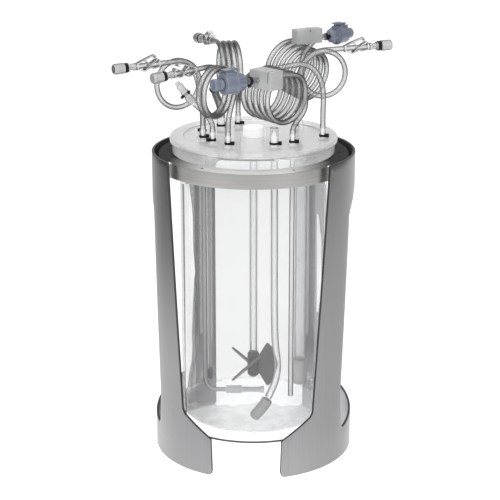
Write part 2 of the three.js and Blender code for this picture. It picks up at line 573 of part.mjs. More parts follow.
// grey tubing blocks over the two big coils
{
  const c = C.front, o = c.B, n = [-0.707, 0.707], p = [0.707, 0.707];
  const at = (pn, pp, z) => [o[0] + n[0] * pn + p[0] * pp, o[1] + n[1] * pn + p[1] * pp, z];
  const m = at(10, -27.5, 476.4);
  const g = new THREE.BoxGeometry(20.5, 34, 21.4); g.rotateZ(45 * D2R); g.translate(...m);
  const b = solid(g).subtract(solid(ringOf(c, GAP)));
  put(head, 'front_tubing_block', geometryOf(biggest(b)), BLOCKG);
}
{
  const m = [63.8, 29.6, 508.2];
  const g = new THREE.BoxGeometry(35, 14, 17.5); g.rotateZ(30 * D2R); g.translate(...m);
  let b = solid(g);
  const slit = new THREE.BoxGeometry(1.6, 20, 7); slit.rotateZ(30 * D2R); slit.translate(m[0], m[1], m[2] + 8.8);
  b = b.subtract(solid(slit)).subtract(solid(ringOf(C.right_rear, GAP)));
  put(head, 'rear_tubing_block', geometryOf(biggest(b)), BLOCKG);
}

// quick couplings with a thumb latch, one on each big coil
const COUPLING = {
  front: { at: [3.4, -79.4, 476], dir: [-0.84, -0.54, 0], k: 1 },
  rear: { at: [81.2, 40, 504.4], dir: [0.72, 0.69, 0], k: 0.88 },
};
for (const [name, q] of Object.entries(COUPLING)) {
  const M = frameOf(q.at, q.dir).scale(V(q.k, q.k, q.k));
  const turnX = (profile, k) => { const t = turned(profile, k); t.rotateY(Math.PI / 2); return fixWinding(t); };
  let body = solid(turnX([[0, 0.4], [2.6, 0.4], [3.4, 4], [3.4, 13], [6, 14], [9.2, 17.5], [9.2, 28], [13.4, 28.6], [13.4, 31.4], [12.2, 32], [12.2, 45.6], [6.6, 45.6], [6.6, 36], [0, 36]], 20));
  // slot that the thumb latch slides in
  body = body.subtract(solid(block(32.6, 42.4, -5.4, 5.4, 6.2, 16)));
  const bodyG = geometryOf(biggest(body)); bodyG.applyMatrix4(M);
  put(head, name + '_coupling_body', bodyG, BLUE);
  let latch = solid(block(33, 42, -5, 5, 8.8, 15.2)).add(solid(block(25, 44.5, -5.6, 5.6, 15.1, 16.9)));
  const latchG = geometryOf(latch); latchG.applyMatrix4(M);
  put(head, name + '_coupling_latch', latchG, BLUE);
  const ins = turnX([[0, 37], [5.4, 37], [5.4, 48.5], [4.6, 49.4], [4.6, 51.4], [7.1, 52.3], [7.1, 57.6], [6.2, 58.5], [0, 58.5]], 14);
  ins.applyMatrix4(M);
  put(head, name + '_coupling_insert', ins, BLUE);
}

// sampling line, and three spare stubs closed with plugs
{
  const s = [up(p2, start), [-48.2, -37.8, 414], [-50.8, -36.2, 420.4], [-57, -33, 427.6], [-64.4, -31, 434], [-69.6, -30.2, 438.2]];
  put(head, 'sampling_hose', hose(route(s, 3), HOSE_R, 8, 8), HOSEM);
  const d = [-0.62, 0, 0.785], a = [-70.3, -30.1, 439.0];
  put(head, 'sampling_connector', along(turned([[0, 0], [4.4, 0], [4.8, 0.8], [4.8, 11], [3.4, 12.5], [3.4, 15], [5, 15.6], [5, 18], [4, 18.6], [4, 27], [3, 28], [3, 31], [0, 31]], 14), a, d), MILKY);
  put(head, 'spare_hose_wide', hose(route([up(p3, start), [-39.9, 39.4, 417], [-42, 35.4, 426], [-45.4, 27.6, 437], [-48.2, 19.2, 448.5]], 3), WIDE_R, 10, 9), HOSEM);
  put(head, 'spare_hose_left', hose(route([up(p1, start), up(p1, 418), [-60.4, -20.6, 426]], 2), HOSE_R, 8, 8), HOSEM);
  put(head, 'spare_hose_front', hose(route([up(p6, start), up(p6, 412), up(p6, 415.5)], 2), WIDE_R, 10, 8), HOSEM);
}

export default root;
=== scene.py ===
"""Looks of the bench bioreactor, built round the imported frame. Lengths below are
millimetres in the head plate's own frame unless a comment says otherwise."""
import math
import random

import bmesh
import bpy
import numpy as np
from mathutils import Matrix, Vector
from mathutils.geometry import delaunay_2d_cdt


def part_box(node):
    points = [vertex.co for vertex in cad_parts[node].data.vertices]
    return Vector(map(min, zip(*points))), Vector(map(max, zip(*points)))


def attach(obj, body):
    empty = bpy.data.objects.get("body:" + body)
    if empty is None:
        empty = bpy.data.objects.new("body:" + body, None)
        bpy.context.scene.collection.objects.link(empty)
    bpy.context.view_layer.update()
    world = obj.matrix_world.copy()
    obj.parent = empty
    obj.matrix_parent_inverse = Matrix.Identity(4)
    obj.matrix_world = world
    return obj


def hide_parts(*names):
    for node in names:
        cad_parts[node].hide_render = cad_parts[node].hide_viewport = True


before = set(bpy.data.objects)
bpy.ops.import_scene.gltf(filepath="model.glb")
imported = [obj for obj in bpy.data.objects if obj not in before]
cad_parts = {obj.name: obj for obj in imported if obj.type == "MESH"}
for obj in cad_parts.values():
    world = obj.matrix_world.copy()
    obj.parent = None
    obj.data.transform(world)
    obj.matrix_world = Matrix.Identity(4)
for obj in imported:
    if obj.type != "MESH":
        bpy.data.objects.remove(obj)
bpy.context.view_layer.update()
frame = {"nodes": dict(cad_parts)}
scene = bpy.context.scene
RNG = random.Random(7)

# ------------------------------------------------------------------ frames
_hub_lo, _hub_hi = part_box("drive_hub")
AXIS_Y = (_hub_lo.y + _hub_hi.y) / 2 * 1000          # the vessel's axis
TURN = math.radians(4.3)
STAND = Matrix.Translation((0, AXIS_Y * 0.001, 0)) @ Matrix.Scale(0.001, 4)
HEAD = Matrix.Translation((0, AXIS_Y * 0.001, 0)) @ Matrix.Rotation(TURN, 4, "Z") @ Matrix.Scale(0.001, 4)
D2R = math.pi / 180


def head_m(p):
    """head-frame millimetres to the row frame in metres"""
    return tuple(HEAD @ Vector(p))


# ------------------------------------------------------------------ camera
cam_data = bpy.data.cameras.new("camera")
cam = bpy.data.objects.new("camera", cam_data)
scene.collection.objects.link(cam)
scene.camera = cam
cam_data.sensor_width = 36.0
cam_data.lens = 1569.311 / 500 * 36.0
cam_data.clip_start, cam_data.clip_end = 0.05, 60
CAM_AT = HEAD @ Vector((0, -1833.946, 822.484))
PITCH, YAW = 17.349 * D2R, -0.133 * D2R
look = Matrix.Rotation(TURN, 3, "Z") @ Vector(
    (math.sin(YAW) * math.cos(PITCH), math.cos(YAW) * math.cos(PITCH), -math.sin(PITCH)))
cam.location = CAM_AT
cam.rotation_mode = "QUATERNION"
cam.rotation_quaternion = look.to_track_quat("-Z", "Y")


# ------------------------------------------------------------- curve helpers
def route(ctrl, k=6):
    """uniform Catmull-Rom through the control points, k samples a span"""
    P = [np.array(c, float) for c in ctrl]
    out = []
    for i in range(len(P) - 1):
        p0, p1, p2, p3 = P[max(i - 1, 0)], P[i], P[i + 1], P[min(i + 2, len(P) - 1)]
        for j in range(k):
            t = j / k
            out.append(0.5 * (2 * p1 + (p2 - p0) * t + (2 * p0 - 5 * p1 + 4 * p2 - p3) * t * t
                              + (3 * p1 - p0 - 3 * p2 + p3) * t ** 3))
    out.append(P[-1])
    return out


def spaced(pts, step):
    """the same line with even steps"""
    P = np.array([list(p) for p in pts], float)
    seg = np.linalg.norm(np.diff(P, axis=0), axis=1)
    s = np.concatenate([[0], np.cumsum(seg)])
    n = max(2, int(round(s[-1] / step)))
    at = np.linspace(0, s[-1], n + 1)
    return np.stack([np.interp(at, s, P[:, k]) for k in range(3)], 1)


def eased(pts, passes=2):
    """takes out small kinks, ends kept"""
    P = np.array(pts, float)
    for _ in range(passes):
        Q = P.copy()
        Q[1:-1] = 0.25 * P[:-2] + 0.5 * P[1:-1] + 0.25 * P[2:]
        P = Q
    return P


def length_of(P):
    return float(np.linalg.norm(np.diff(np.array(P), axis=0), axis=1).sum())


def coil_points(A, B, R, p, t0, t1, per_turn=24):
    a, b = np.array(A, float), np.array(B, float)
    P = np.array([p[0], p[1], 0.0]); P /= np.linalg.norm(P)
    n = (b - a) / np.linalg.norm(b - a)
    U = np.cross(P, n); U /= np.linalg.norm(U)
    if U[2] < 0:
        U = -U
    N = max(2, int(round(abs(t1 - t0) / 360 * per_turn)))
    out = []
    for i in range(N + 1):
        f = i / N
        t = (t0 + (t1 - t0) * f) * D2R
        out.append(a + (b - a) * f + P * R * math.cos(t) + U * R * math.sin(t))
    return out


def frame_of(start, d):
    """X along d, Z as near up as it can be"""
    x = Vector(d).normalized()
    y = Vector((0, 0, 1)).cross(x).normalized()
    z = x.cross(y).normalized()
    m = Matrix((x, y, z)).transposed().to_4x4()
    m.translation = Vector(start)
    return m


# -------------------------------------------------------------- mesh helpers
class Geo:
    """vertices and faces gathered in millimetres"""

    def __init__(self):
        self.v, self.f, self.m = [], [], []

    def add(self, verts, faces, mat=0, M=None):
        o = len(self.v)
        for q in verts:
            q = Vector(q)
            self.v.append(tuple(M @ q) if M is not None else tuple(q))
        for f in faces:
            self.f.append(tuple(i + o for i in f))
            self.m.append(mat)
        return self

    def join(self, g, M=None, mat=None):
        o = len(self.v)
        self.v += [tuple(M @ Vector(q)) if M is not None else q for q in g.v]
        self.f += [tuple(i + o for i in f) for f in g.f]
        self.m += [mat if mat is not None else m for m in g.m]
        return self


def lathe(profile, segs=64, a0=0.0):
    """profile [r, z] turned about Z: open at the axis, or closed on itself"""
    g = Geo()
    closed = not (abs(profile[0][0]) < 1e-6 and abs(profile[-1][0]) < 1e-6)
    rings = []
    for r, z in profile:
        if abs(r) < 1e-6:
            g.v.append((0, 0, z)); rings.append([len(g.v) - 1])
        else:
            o = len(g.v)
            for i in range(segs):
                a = a0 + 2 * math.pi * i / segs
                g.v.append((r * math.cos(a), r * math.sin(a), z))
            rings.append(list(range(o, o + segs)))
    pairs = list(zip(rings[:-1], rings[1:]))
    if closed:
        pairs.append((rings[-1], rings[0]))
    for A, B in pairs:
        for i in range(segs):
            j = (i + 1) % segs
            if len(A) == 1 and len(B) == 1:
                continue
            if len(A) == 1:
                g.f.append((A[0], B[j], B[i]))
            elif len(B) == 1:
                g.f.append((A[i], A[j], B[0]))
            else:
                g.f.append((A[i], A[j], B[j], B[i]))
    g.m = [0] * len(g.f)
    return g


def soften(profile, r=0.4, n=3):
    """rounds the corners of a [r, z] profile; ends on the axis stay"""
    out = []
    closed = not (abs(profile[0][0]) < 1e-6 and abs(profile[-1][0]) < 1e-6)
    m = len(profile)
    for i, q in enumerate(profile):
        if not closed and i in (0, m - 1):
            out.append(tuple(q)); continue
        a, b, c = (np.array(profile[(i - 1) % m], float), np.array(q, float), np.array(profile[(i + 1) % m], float))
        da, dc = np.linalg.norm(a - b), np.linalg.norm(c - b)
        if da < 1e-6 or dc < 1e-6:
            continue
        ua, uc = (a - b) / da, (c - b) / dc
        cosv = float(np.clip(ua @ uc, -1, 1))
        if cosv < -0.985:
            out.append(tuple(b)); continue
        half = math.acos(cosv) / 2
        cut = min(r / math.tan(half), da * 0.45, dc * 0.45)
        p0, p1 = b + ua * cut, b + uc * cut
        hold = 0.12 + 0.4 * cut
        if da * 0.5 > cut + hold * 1.5:
            out.append(tuple(b + ua * (cut + hold)))
        for k in range(n + 1):
            t = k / n
            out.append(tuple((1 - t) ** 2 * p0 + 2 * t * (1 - t) * b + t * t * p1))
        if dc * 0.5 > cut + hold * 1.5:
            out.append(tuple(b + uc * (cut + hold)))
    return out


def rounded(pts, seg=5):
    """polygon [x, z, radius] with rounded corners"""
    out, n = [], len(pts)
    for i, (x, z, r) in enumerate(pts):
        if not r:
            out.append((x, z)); continue
        ax, az = pts[(i - 1) % n][:2]
        bx, bz = pts[(i + 1) % n][:2]
        da, db = math.hypot(ax - x, az - z), math.hypot(bx - x, bz - z)
        ua, ub = ((ax - x) / da, (az - z) / da), ((bx - x) / db, (bz - z) / db)
        cosv = max(-1, min(1, ua[0] * ub[0] + ua[1] * ub[1]))
        half = math.acos(cosv) / 2
        cut = min(r / math.tan(half), da * 0.49, db * 0.49)
        p0, p1 = (x + ua[0] * cut, z + ua[1] * cut), (x + ub[0] * cut, z + ub[1] * cut)
        for k in range(seg + 1):
            t = k / seg
            out.append(((1 - t) ** 2 * p0[0] + 2 * t * (1 - t) * x + t * t * p1[0],
                        (1 - t) ** 2 * p0[1] + 2 * t * (1 - t) * z + t * t * p1[1]))
    return out


def tube(pts, r, sides=20, bore=None, cap=True):
    """a tube along points; r and bore may be functions of the distance along"""
    P = np.array([list(p) for p in pts], float)
    n = len(P)
    T = np.gradient(P, axis=0)
    T /= np.linalg.norm(T, axis=1)[:, None]
    s = np.concatenate([[0], np.cumsum(np.linalg.norm(np.diff(P, axis=0), axis=1))])
    rf = r if callable(r) else (lambda q: r)
    bf = bore if callable(bore) or bore is None else (lambda q: bore)
    u = np.cross(T[0], [0.3, 0.2, 1.0] if abs(T[0][2]) < 0.9 else [1.0, 0.1, 0.0])
    u /= np.linalg.norm(u)
    U = [u]
    for i in range(1, n):
        w = U[-1] - T[i] * (U[-1] @ T[i])
        U.append(w / np.linalg.norm(w))
    U = np.array(U); W = np.cross(T, U)
    g = Geo()

    def skin(fn, flip):
        o = len(g.v)
        for i in range(n):
            rr = fn(s[i])
            for k in range(sides):
                a = 2 * math.pi * k / sides
                q = P[i] + rr * (math.cos(a) * U[i] + math.sin(a) * W[i])
                g.v.append(tuple(q))
        for i in range(n - 1):
            for k in range(sides):
                j = (k + 1) % sides
                f = (o + i * sides + k, o + i * sides + j, o + (i + 1) * sides + j, o + (i + 1) * sides + k)
                g.f.append(f[::-1] if flip else f)
        return o

    a = skin(rf, False)
    if bf is None:
        if cap:
            g.f.append(tuple(a + k for k in range(sides))[::-1])
            g.f.append(tuple(a + (n - 1) * sides + k for k in range(sides)))
    else:
        b = skin(bf, True)
        for base, flip in ((0, False), ((n - 1) * sides, True)):
            for k in range(sides):
                j = (k + 1) % sides
                f = (a + base + k, b + base + k, b + base + j, a + base + j)
                g.f.append(f[::-1] if flip else f)
    g.m = [0] * len(g.f)
    return g


def slab(outline, y0, y1, bevel=0.35):
    """an outline in X, Z as a plate from y0 to y1, its long edges chamfered"""
    n = len(outline)
    P = [np.array(q, float) for q in outline]
    area = sum(P[i][0] * P[(i + 1) % n][1] - P[(i + 1) % n][0] * P[i][1] for i in range(n))
    if area < 0:
        P.reverse()
    nrm = []
    for i in range(n):
        a, b, c = P[i - 1], P[i], P[(i + 1) % n]
        e0, e1 = b - a, c - b
        e0 /= max(np.linalg.norm(e0), 1e-9); e1 /= max(np.linalg.norm(e1), 1e-9)
        m = np.array([e0[1] + e1[1], -(e0[0] + e1[0])])
        m /= max(np.linalg.norm(m), 1e-9)
        k = max(0.4, m @ np.array([e1[1], -e1[0]]))
        nrm.append(m / k)
    inn = [P[i] - nrm[i] * bevel for i in range(n)]
    g = Geo()
    for pts, y in ((inn, y0), (P, y0 + bevel), (P, y1 - bevel), (inn, y1)):
        for q in pts:
            g.v.append((q[0], y, q[1]))
    for k in range(3):
        for i in range(n):
            j = (i + 1) % n
            g.f.append((k * n + i, k * n + j, (k + 1) * n + j, (k + 1) * n + i))
    r = delaunay_2d_cdt([Vector(q) for q in inn], [(i, (i + 1) % n) for i in range(n)], [], 1, 1e-6)
    if len(r[0]) == n:
        order = [r[3][i][0] for i in range(n)]
        for t in r[2]:
            t = [order[i] for i in t]
            g.f.append(tuple(t))
            g.f.append(tuple(3 * n + i for i in reversed(t)))
    else:
        g.f.append(tuple(range(n)))
        g.f.append(tuple(3 * n + i for i in reversed(range(n))))
    g.m = [0] * len(g.f)
    return g


def box_geo(x0, x1, y0, y1, z0, z1, r=0.6, seg=3):
    """a box with rounded edges"""
    bm = bmesh.new()
    bmesh.ops.create_cube(bm, size=1.0)
    bmesh.ops.scale(bm, vec=(x1 - x0, y1 - y0, z1 - z0), verts=bm.verts)
    bmesh.ops.translate(bm, vec=((x0 + x1) / 2, (y0 + y1) / 2, (z0 + z1) / 2), verts=bm.verts)
    bmesh.ops.bevel(bm, geom=bm.edges[:] + bm.verts[:], offset=r, segments=seg, profile=0.5, affect="EDGES")
    g = Geo()
    bm.verts.ensure_lookup_table()
    g.v = [tuple(v.co) for v in bm.verts]
    g.f = [tuple(v.index for v in f.verts) for f in bm.faces]
    g.m = [0] * len(g.f)
    bm.free()
    return g


def piece(name, g, M, mats, body="stand", replaces=(), sharp=38, flat=False):
    """makes the object, in the row frame, riding on its body"""
    me = bpy.data.meshes.new(name)
    me.from_pydata([tuple(M @ Vector(q)) for q in g.v], [], g.f)
    if len(me.polygons) == len(g.m):
        me.polygons.foreach_set("material_index", g.m)
    me.validate()
    bm = bmesh.new()
    bm.from_mesh(me)
    bmesh.ops.remove_doubles(bm, verts=bm.verts, dist=1e-6)
    bmesh.ops.recalc_face_normals(bm, faces=bm.faces)
    lim = sharp * D2R
    for f in bm.faces:
        f.smooth = not flat
    for e in bm.edges:
        if len(e.link_faces) == 2:
            e.smooth = e.calc_face_angle(0) < lim
    o = bpy.data.objects.new(name, me)
    scene.collection.objects.link(o)
    for m in (mats if isinstance(mats, (list, tuple)) else [mats]):
        me.materials.append(m)
    bm.to_mesh(me)
    bm.free()
    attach(o, body)
    if replaces:
        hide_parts(*replaces)
    return o


# ---------------------------------------------------------------- materials
def fresh(name):
    m = bpy.data.materials.new(name)
    m.use_nodes = True
    nt = m.node_tree
    nt.nodes.clear()
    out = nt.nodes.new("ShaderNodeOutputMaterial")
    return m, nt, out


def node(nt, kind, **kw):
    n = nt.nodes.new(kind)
    for k, v in kw.items():
        if k in n.inputs:
            n.inputs[k].default_value = v
        else:
            setattr(n, k, v)
    return n


def noise(nt, scale_xyz, scale=1.0, detail=4.0, rough=0.55, offset=(0, 0, 0)):
    """noise over the row frame, stretched by scale_xyz, in features per metre"""
    tc = nt.nodes.new("ShaderNodeTexCoord")
    mp = nt.nodes.new("ShaderNodeMapping")
    mp.inputs["Scale"].default_value = scale_xyz
    mp.inputs["Location"].default_value = offset
    nt.links.new(tc.outputs["Object"], mp.inputs["Vector"])
    nz = nt.nodes.new("ShaderNodeTexNoise")
    nz.inputs["Scale"].default_value = scale
    nz.inputs["Detail"].default_value = detail
    nz.inputs["Roughness"].default_value = rough
    nt.links.new(mp.outputs["Vector"], nz.inputs["Vector"])
    return nz.outputs["Fac"]


def ramp(nt, fac, stops):
    r = nt.nodes.new("ShaderNodeValToRGB")
    el = r.color_ramp.elements
    while len(el) < len(stops):
        el.new(0.5)
    for e, (pos, col) in zip(el, stops):
        e.position = pos
        e.color = (*col, 1) if len(col) == 3 else col
    nt.links.new(fac, r.inputs["Fac"])
    return r.outputs["Color"]


def remap(nt, fac, a, b, lo=0.3, hi=0.7):
    r = nt.nodes.new("ShaderNodeMapRange")
    r.inputs["From Min"].default_value = lo
    r.inputs["From Max"].default_value = hi
    r.inputs["To Min"].default_value = a
    r.inputs["To Max"].default_value = b
    nt.links.new(fac, r.inputs["Value"])
    return r.outputs["Result"]


def bump(nt, height, strength, distance):
    b = nt.nodes.new("ShaderNodeBump")
    b.inputs["Strength"].default_value = strength
    b.inputs["Distance"].default_value = distance
    nt.links.new(height, b.inputs["Height"])
    return b.outputs["Normal"]


def solid_plastic(name, c0, c1, rough=(0.3, 0.4), scale=60, bump_h=0.00004, **sockets):
    """moulded plastic: slow colour change, fine grain in its gloss and bump"""
    m, nt, out = fresh(name)
    p = nt.nodes.new("ShaderNodeBsdfPrincipled")
    nz = noise(nt, (1, 1, 1), scale, 5)
    nt.links.new(ramp(nt, nz, [(0.3, c0), (0.7, c1)]), p.inputs["Base Color"])
    nt.links.new(remap(nt, noise(nt, (1, 1, 1), scale * 9, 3), *rough), p.inputs["Roughness"])
    nt.links.new(bump(nt, noise(nt, (1, 1, 1), scale * 25, 2), 0.25, bump_h), p.inputs["Normal"])
    for k, v in sockets.items():
        p.inputs[k.replace("_", " ")].default_value = v
    nt.links.new(p.outputs["BSDF"], out.inputs["Surface"])
    return m


def side_shade(nt):
    """painted shade: the ledge is darkened where it lies deep beside the shell, at its sides and back"""
    tc = nt.nodes.new("ShaderNodeTexCoord")
    sp = nt.nodes.new("ShaderNodeSeparateXYZ")
    nt.links.new(tc.outputs["Object"], sp.inputs["Vector"])
    ab = node(nt, "ShaderNodeMath", operation="ABSOLUTE")
    nt.links.new(sp.outputs["X"], ab.inputs[0])
    r = remap(nt, ab.outputs[0], 1.0, 0.0, 0.052, 0.094)
    back = remap(nt, sp.outputs["Y"], 1.0, 0.0, -0.084, -0.045)
    mn = node(nt, "ShaderNodeMath", operation="MINIMUM")
    nt.links.new(r, mn.inputs[0]); nt.links.new(back, mn.inputs[1])
    return mn.outputs[0]


def top_shade(nt):
    """painted shade: the sheet's inside is darkened in its top few millimetres"""
    tc = nt.nodes.new("ShaderNodeTexCoord")
    sp = nt.nodes.new("ShaderNodeSeparateXYZ")
    nt.links.new(tc.outputs["Object"], sp.inputs["Vector"])
    return remap(nt, sp.outputs["Z"], 1.0, 0.0, 0.345, 0.368)


def sheet_shade(nt):
    """painted reflection: the rolled sheet is darkened at its upper left, as if it mirrored a darker part of the room,
    and a little at its right side
    """
    tc = nt.nodes.new("ShaderNodeTexCoord")
    sp = nt.nodes.new("ShaderNodeSeparateXYZ")
    nt.links.new(tc.outputs["Object"], sp.inputs["Vector"])
    a = remap(nt, sp.outputs["X"], 1.0, 0.0, -0.112, -0.03)
    b = remap(nt, sp.outputs["Z"], 0.0, 1.0, 0.10, 0.33)
    c = remap(nt, sp.outputs["Y"], 1.0, 0.0, -0.02, 0.03)
    for q in (a, b, c):
        q.node.interpolation_type = "SMOOTHSTEP"
    m1 = node(nt, "ShaderNodeMath", operation="MULTIPLY")
    nt.links.new(a, m1.inputs[0]); nt.links.new(b, m1.inputs[1])
    m2 = node(nt, "ShaderNodeMath", operation="MULTIPLY")
    nt.links.new(m1.outputs[0], m2.inputs[0]); nt.links.new(c, m2.inputs[1])
    left = remap(nt, m2.outputs[0], 1.0, 0.30, 0.0, 1.0)
    right = remap(nt, sp.outputs["X"], 1.0, 0.8, 0.06, 0.115)
    m4 = node(nt, "ShaderNodeMath", operation="MULTIPLY")
    nt.links.new(left, m4.inputs[0]); nt.links.new(right, m4.inputs[1])
    return m4.outputs[0]


def painted_side_light(nt):
    """painted light: the sheet's inside is painted as if lit from the left, so its right half is brighter"""
    tc = nt.nodes.new("ShaderNodeTexCoord")
    sp = nt.nodes.new("ShaderNodeSeparateXYZ")
    nt.links.new(tc.outputs["Object"], sp.inputs["Vector"])
    return remap(nt, sp.outputs["X"], 0.5, 1.8, -0.05, 0.05)


def steel(name, grain, c0, c1, rough=(0.26, 0.42), up=True, shade=None, dark=None, painted_glow=0.0, metal=1.0, painted_light=None):
    """brushed sheet; grain up the stand or round a ring"""
    m, nt, out = fresh(name)
    p = nt.nodes.new("ShaderNodeBsdfPrincipled")
    if up:
        fine = noise(nt, (1500, 1500, 5), 1, 3, 0.6)
        broad = noise(nt, (9, 9, 1.4), 1, 2, 0.5, (3, 1, 0))
    else:
        tc = nt.nodes.new("ShaderNodeTexCoord")
        sp = nt.nodes.new("ShaderNodeSeparateXYZ")
        nt.links.new(tc.outputs["Object"], sp.inputs["Vector"])
        sq = node(nt, "ShaderNodeMath", operation="MULTIPLY")
        nt.links.new(sp.outputs["X"], sq.inputs[0]); nt.links.new(sp.outputs["X"], sq.inputs[1])
        ya = node(nt, "ShaderNodeMath", operation="SUBTRACT")
        nt.links.new(sp.outputs["Y"], ya.inputs[0]); ya.inputs[1].default_value = AXIS_Y * 0.001
        sy = node(nt, "ShaderNodeMath", operation="MULTIPLY")
        nt.links.new(ya.outputs[0], sy.inputs[0]); nt.links.new(ya.outputs[0], sy.inputs[1])
        ad = node(nt, "ShaderNodeMath", operation="ADD")
        nt.links.new(sq.outputs[0], ad.inputs[0]); nt.links.new(sy.outputs[0], ad.inputs[1])
        rt = node(nt, "ShaderNodeMath", operation="SQRT")
        nt.links.new(ad.outputs[0], rt.inputs[0])
        at = node(nt, "ShaderNodeMath", operation="ARCTAN2")
        nt.links.new(ya.outputs[0], at.inputs[0]); nt.links.new(sp.outputs["X"], at.inputs[1])
        cb = nt.nodes.new("ShaderNodeCombineXYZ")
        s1 = node(nt, "ShaderNodeMath", operation="MULTIPLY"); s1.inputs[1].default_value = 1500
        s2 = node(nt, "ShaderNodeMath", operation="MULTIPLY"); s2.inputs[1].default_value = 1.6
        s3 = node(nt, "ShaderNodeMath", operation="MULTIPLY"); s3.inputs[1].default_value = 1500
        nt.links.new(rt.outputs[0], s1.inputs[0]); nt.links.new(at.outputs[0], s2.inputs[0]); nt.links.new(sp.outputs["Z"], s3.inputs[0])
        nt.links.new(s1.outputs[0], cb.inputs[0]); nt.links.new(s2.outputs[0], cb.inputs[1]); nt.links.new(s3.outputs[0], cb.inputs[2])
        nz = node(nt, "ShaderNodeTexNoise", Scale=1.0, Detail=3.0)
        nt.links.new(cb.outputs[0], nz.inputs["Vector"])
        fine = nz.outputs["Fac"]
        broad = noise(nt, (14, 14, 120), 1, 3)
    mix = node(nt, "ShaderNodeMix", data_type="FLOAT")
    mix.inputs[0].default_value = 0.45
    nt.links.new(fine, mix.inputs[2]); nt.links.new(broad, mix.inputs[3])
    colour = ramp(nt, mix.outputs[0], [(0.3, c0), (0.7, c1)])
    # painted light and shade: the shade mask darkens the colour, or with dark blends in a dark finish, and the side
    # ramp scales it by position
    sh = shade(nt) if shade else None
    if painted_light:
        mw = node(nt, "ShaderNodeMix", data_type="RGBA", blend_type="MULTIPLY")
        mw.inputs[0].default_value = 1.0
        nt.links.new(colour, mw.inputs[6]); nt.links.new(painted_light(nt), mw.inputs[7])
        colour = mw.outputs[2]
    if shade and dark is None:
        mc = node(nt, "ShaderNodeMix", data_type="RGBA", blend_type="MULTIPLY")
        mc.inputs[0].default_value = 1.0
        nt.links.new(colour, mc.inputs[6]); nt.links.new(sh, mc.inputs[7])
        colour = mc.outputs[2]
    nt.links.new(colour, p.inputs["Base Color"])
    nt.links.new(remap(nt, fine, *rough), p.inputs["Roughness"])
    nt.links.new(bump(nt, fine, 0.12, 0.00006), p.inputs["Normal"])
    p.inputs["Metallic"].default_value = metal
    # painted light: the steel's colour also glows by painted_glow
    if painted_glow:
        nt.links.new(colour, p.inputs["Emission Color"])
        p.inputs["Emission Strength"].default_value = painted_glow
    if dark is None:
        nt.links.new(p.outputs["BSDF"], out.inputs["Surface"])
        return m
    # painted shade: where the mask is low, a dark matt finish is blended in, as if the sheet mirrored only the dark
    # space beside it
    painted_shade_bsdf = nt.nodes.new("ShaderNodeBsdfPrincipled")
    nt.links.new(ramp(nt, fine, [(0.3, grey(dark * 0.85)), (0.7, grey(dark * 1.15))]), painted_shade_bsdf.inputs["Base Color"])
    painted_shade_bsdf.inputs["Roughness"].default_value = 0.7
    painted_shade_bsdf.inputs["Specular IOR Level"].default_value = 0.03
    blend = nt.nodes.new("ShaderNodeMixShader")
    nt.links.new(sh, blend.inputs[0]); nt.links.new(painted_shade_bsdf.outputs[0], blend.inputs[1]); nt.links.new(p.outputs["BSDF"], blend.inputs[2])
    nt.links.new(blend.outputs[0], out.inputs["Surface"])
    return m


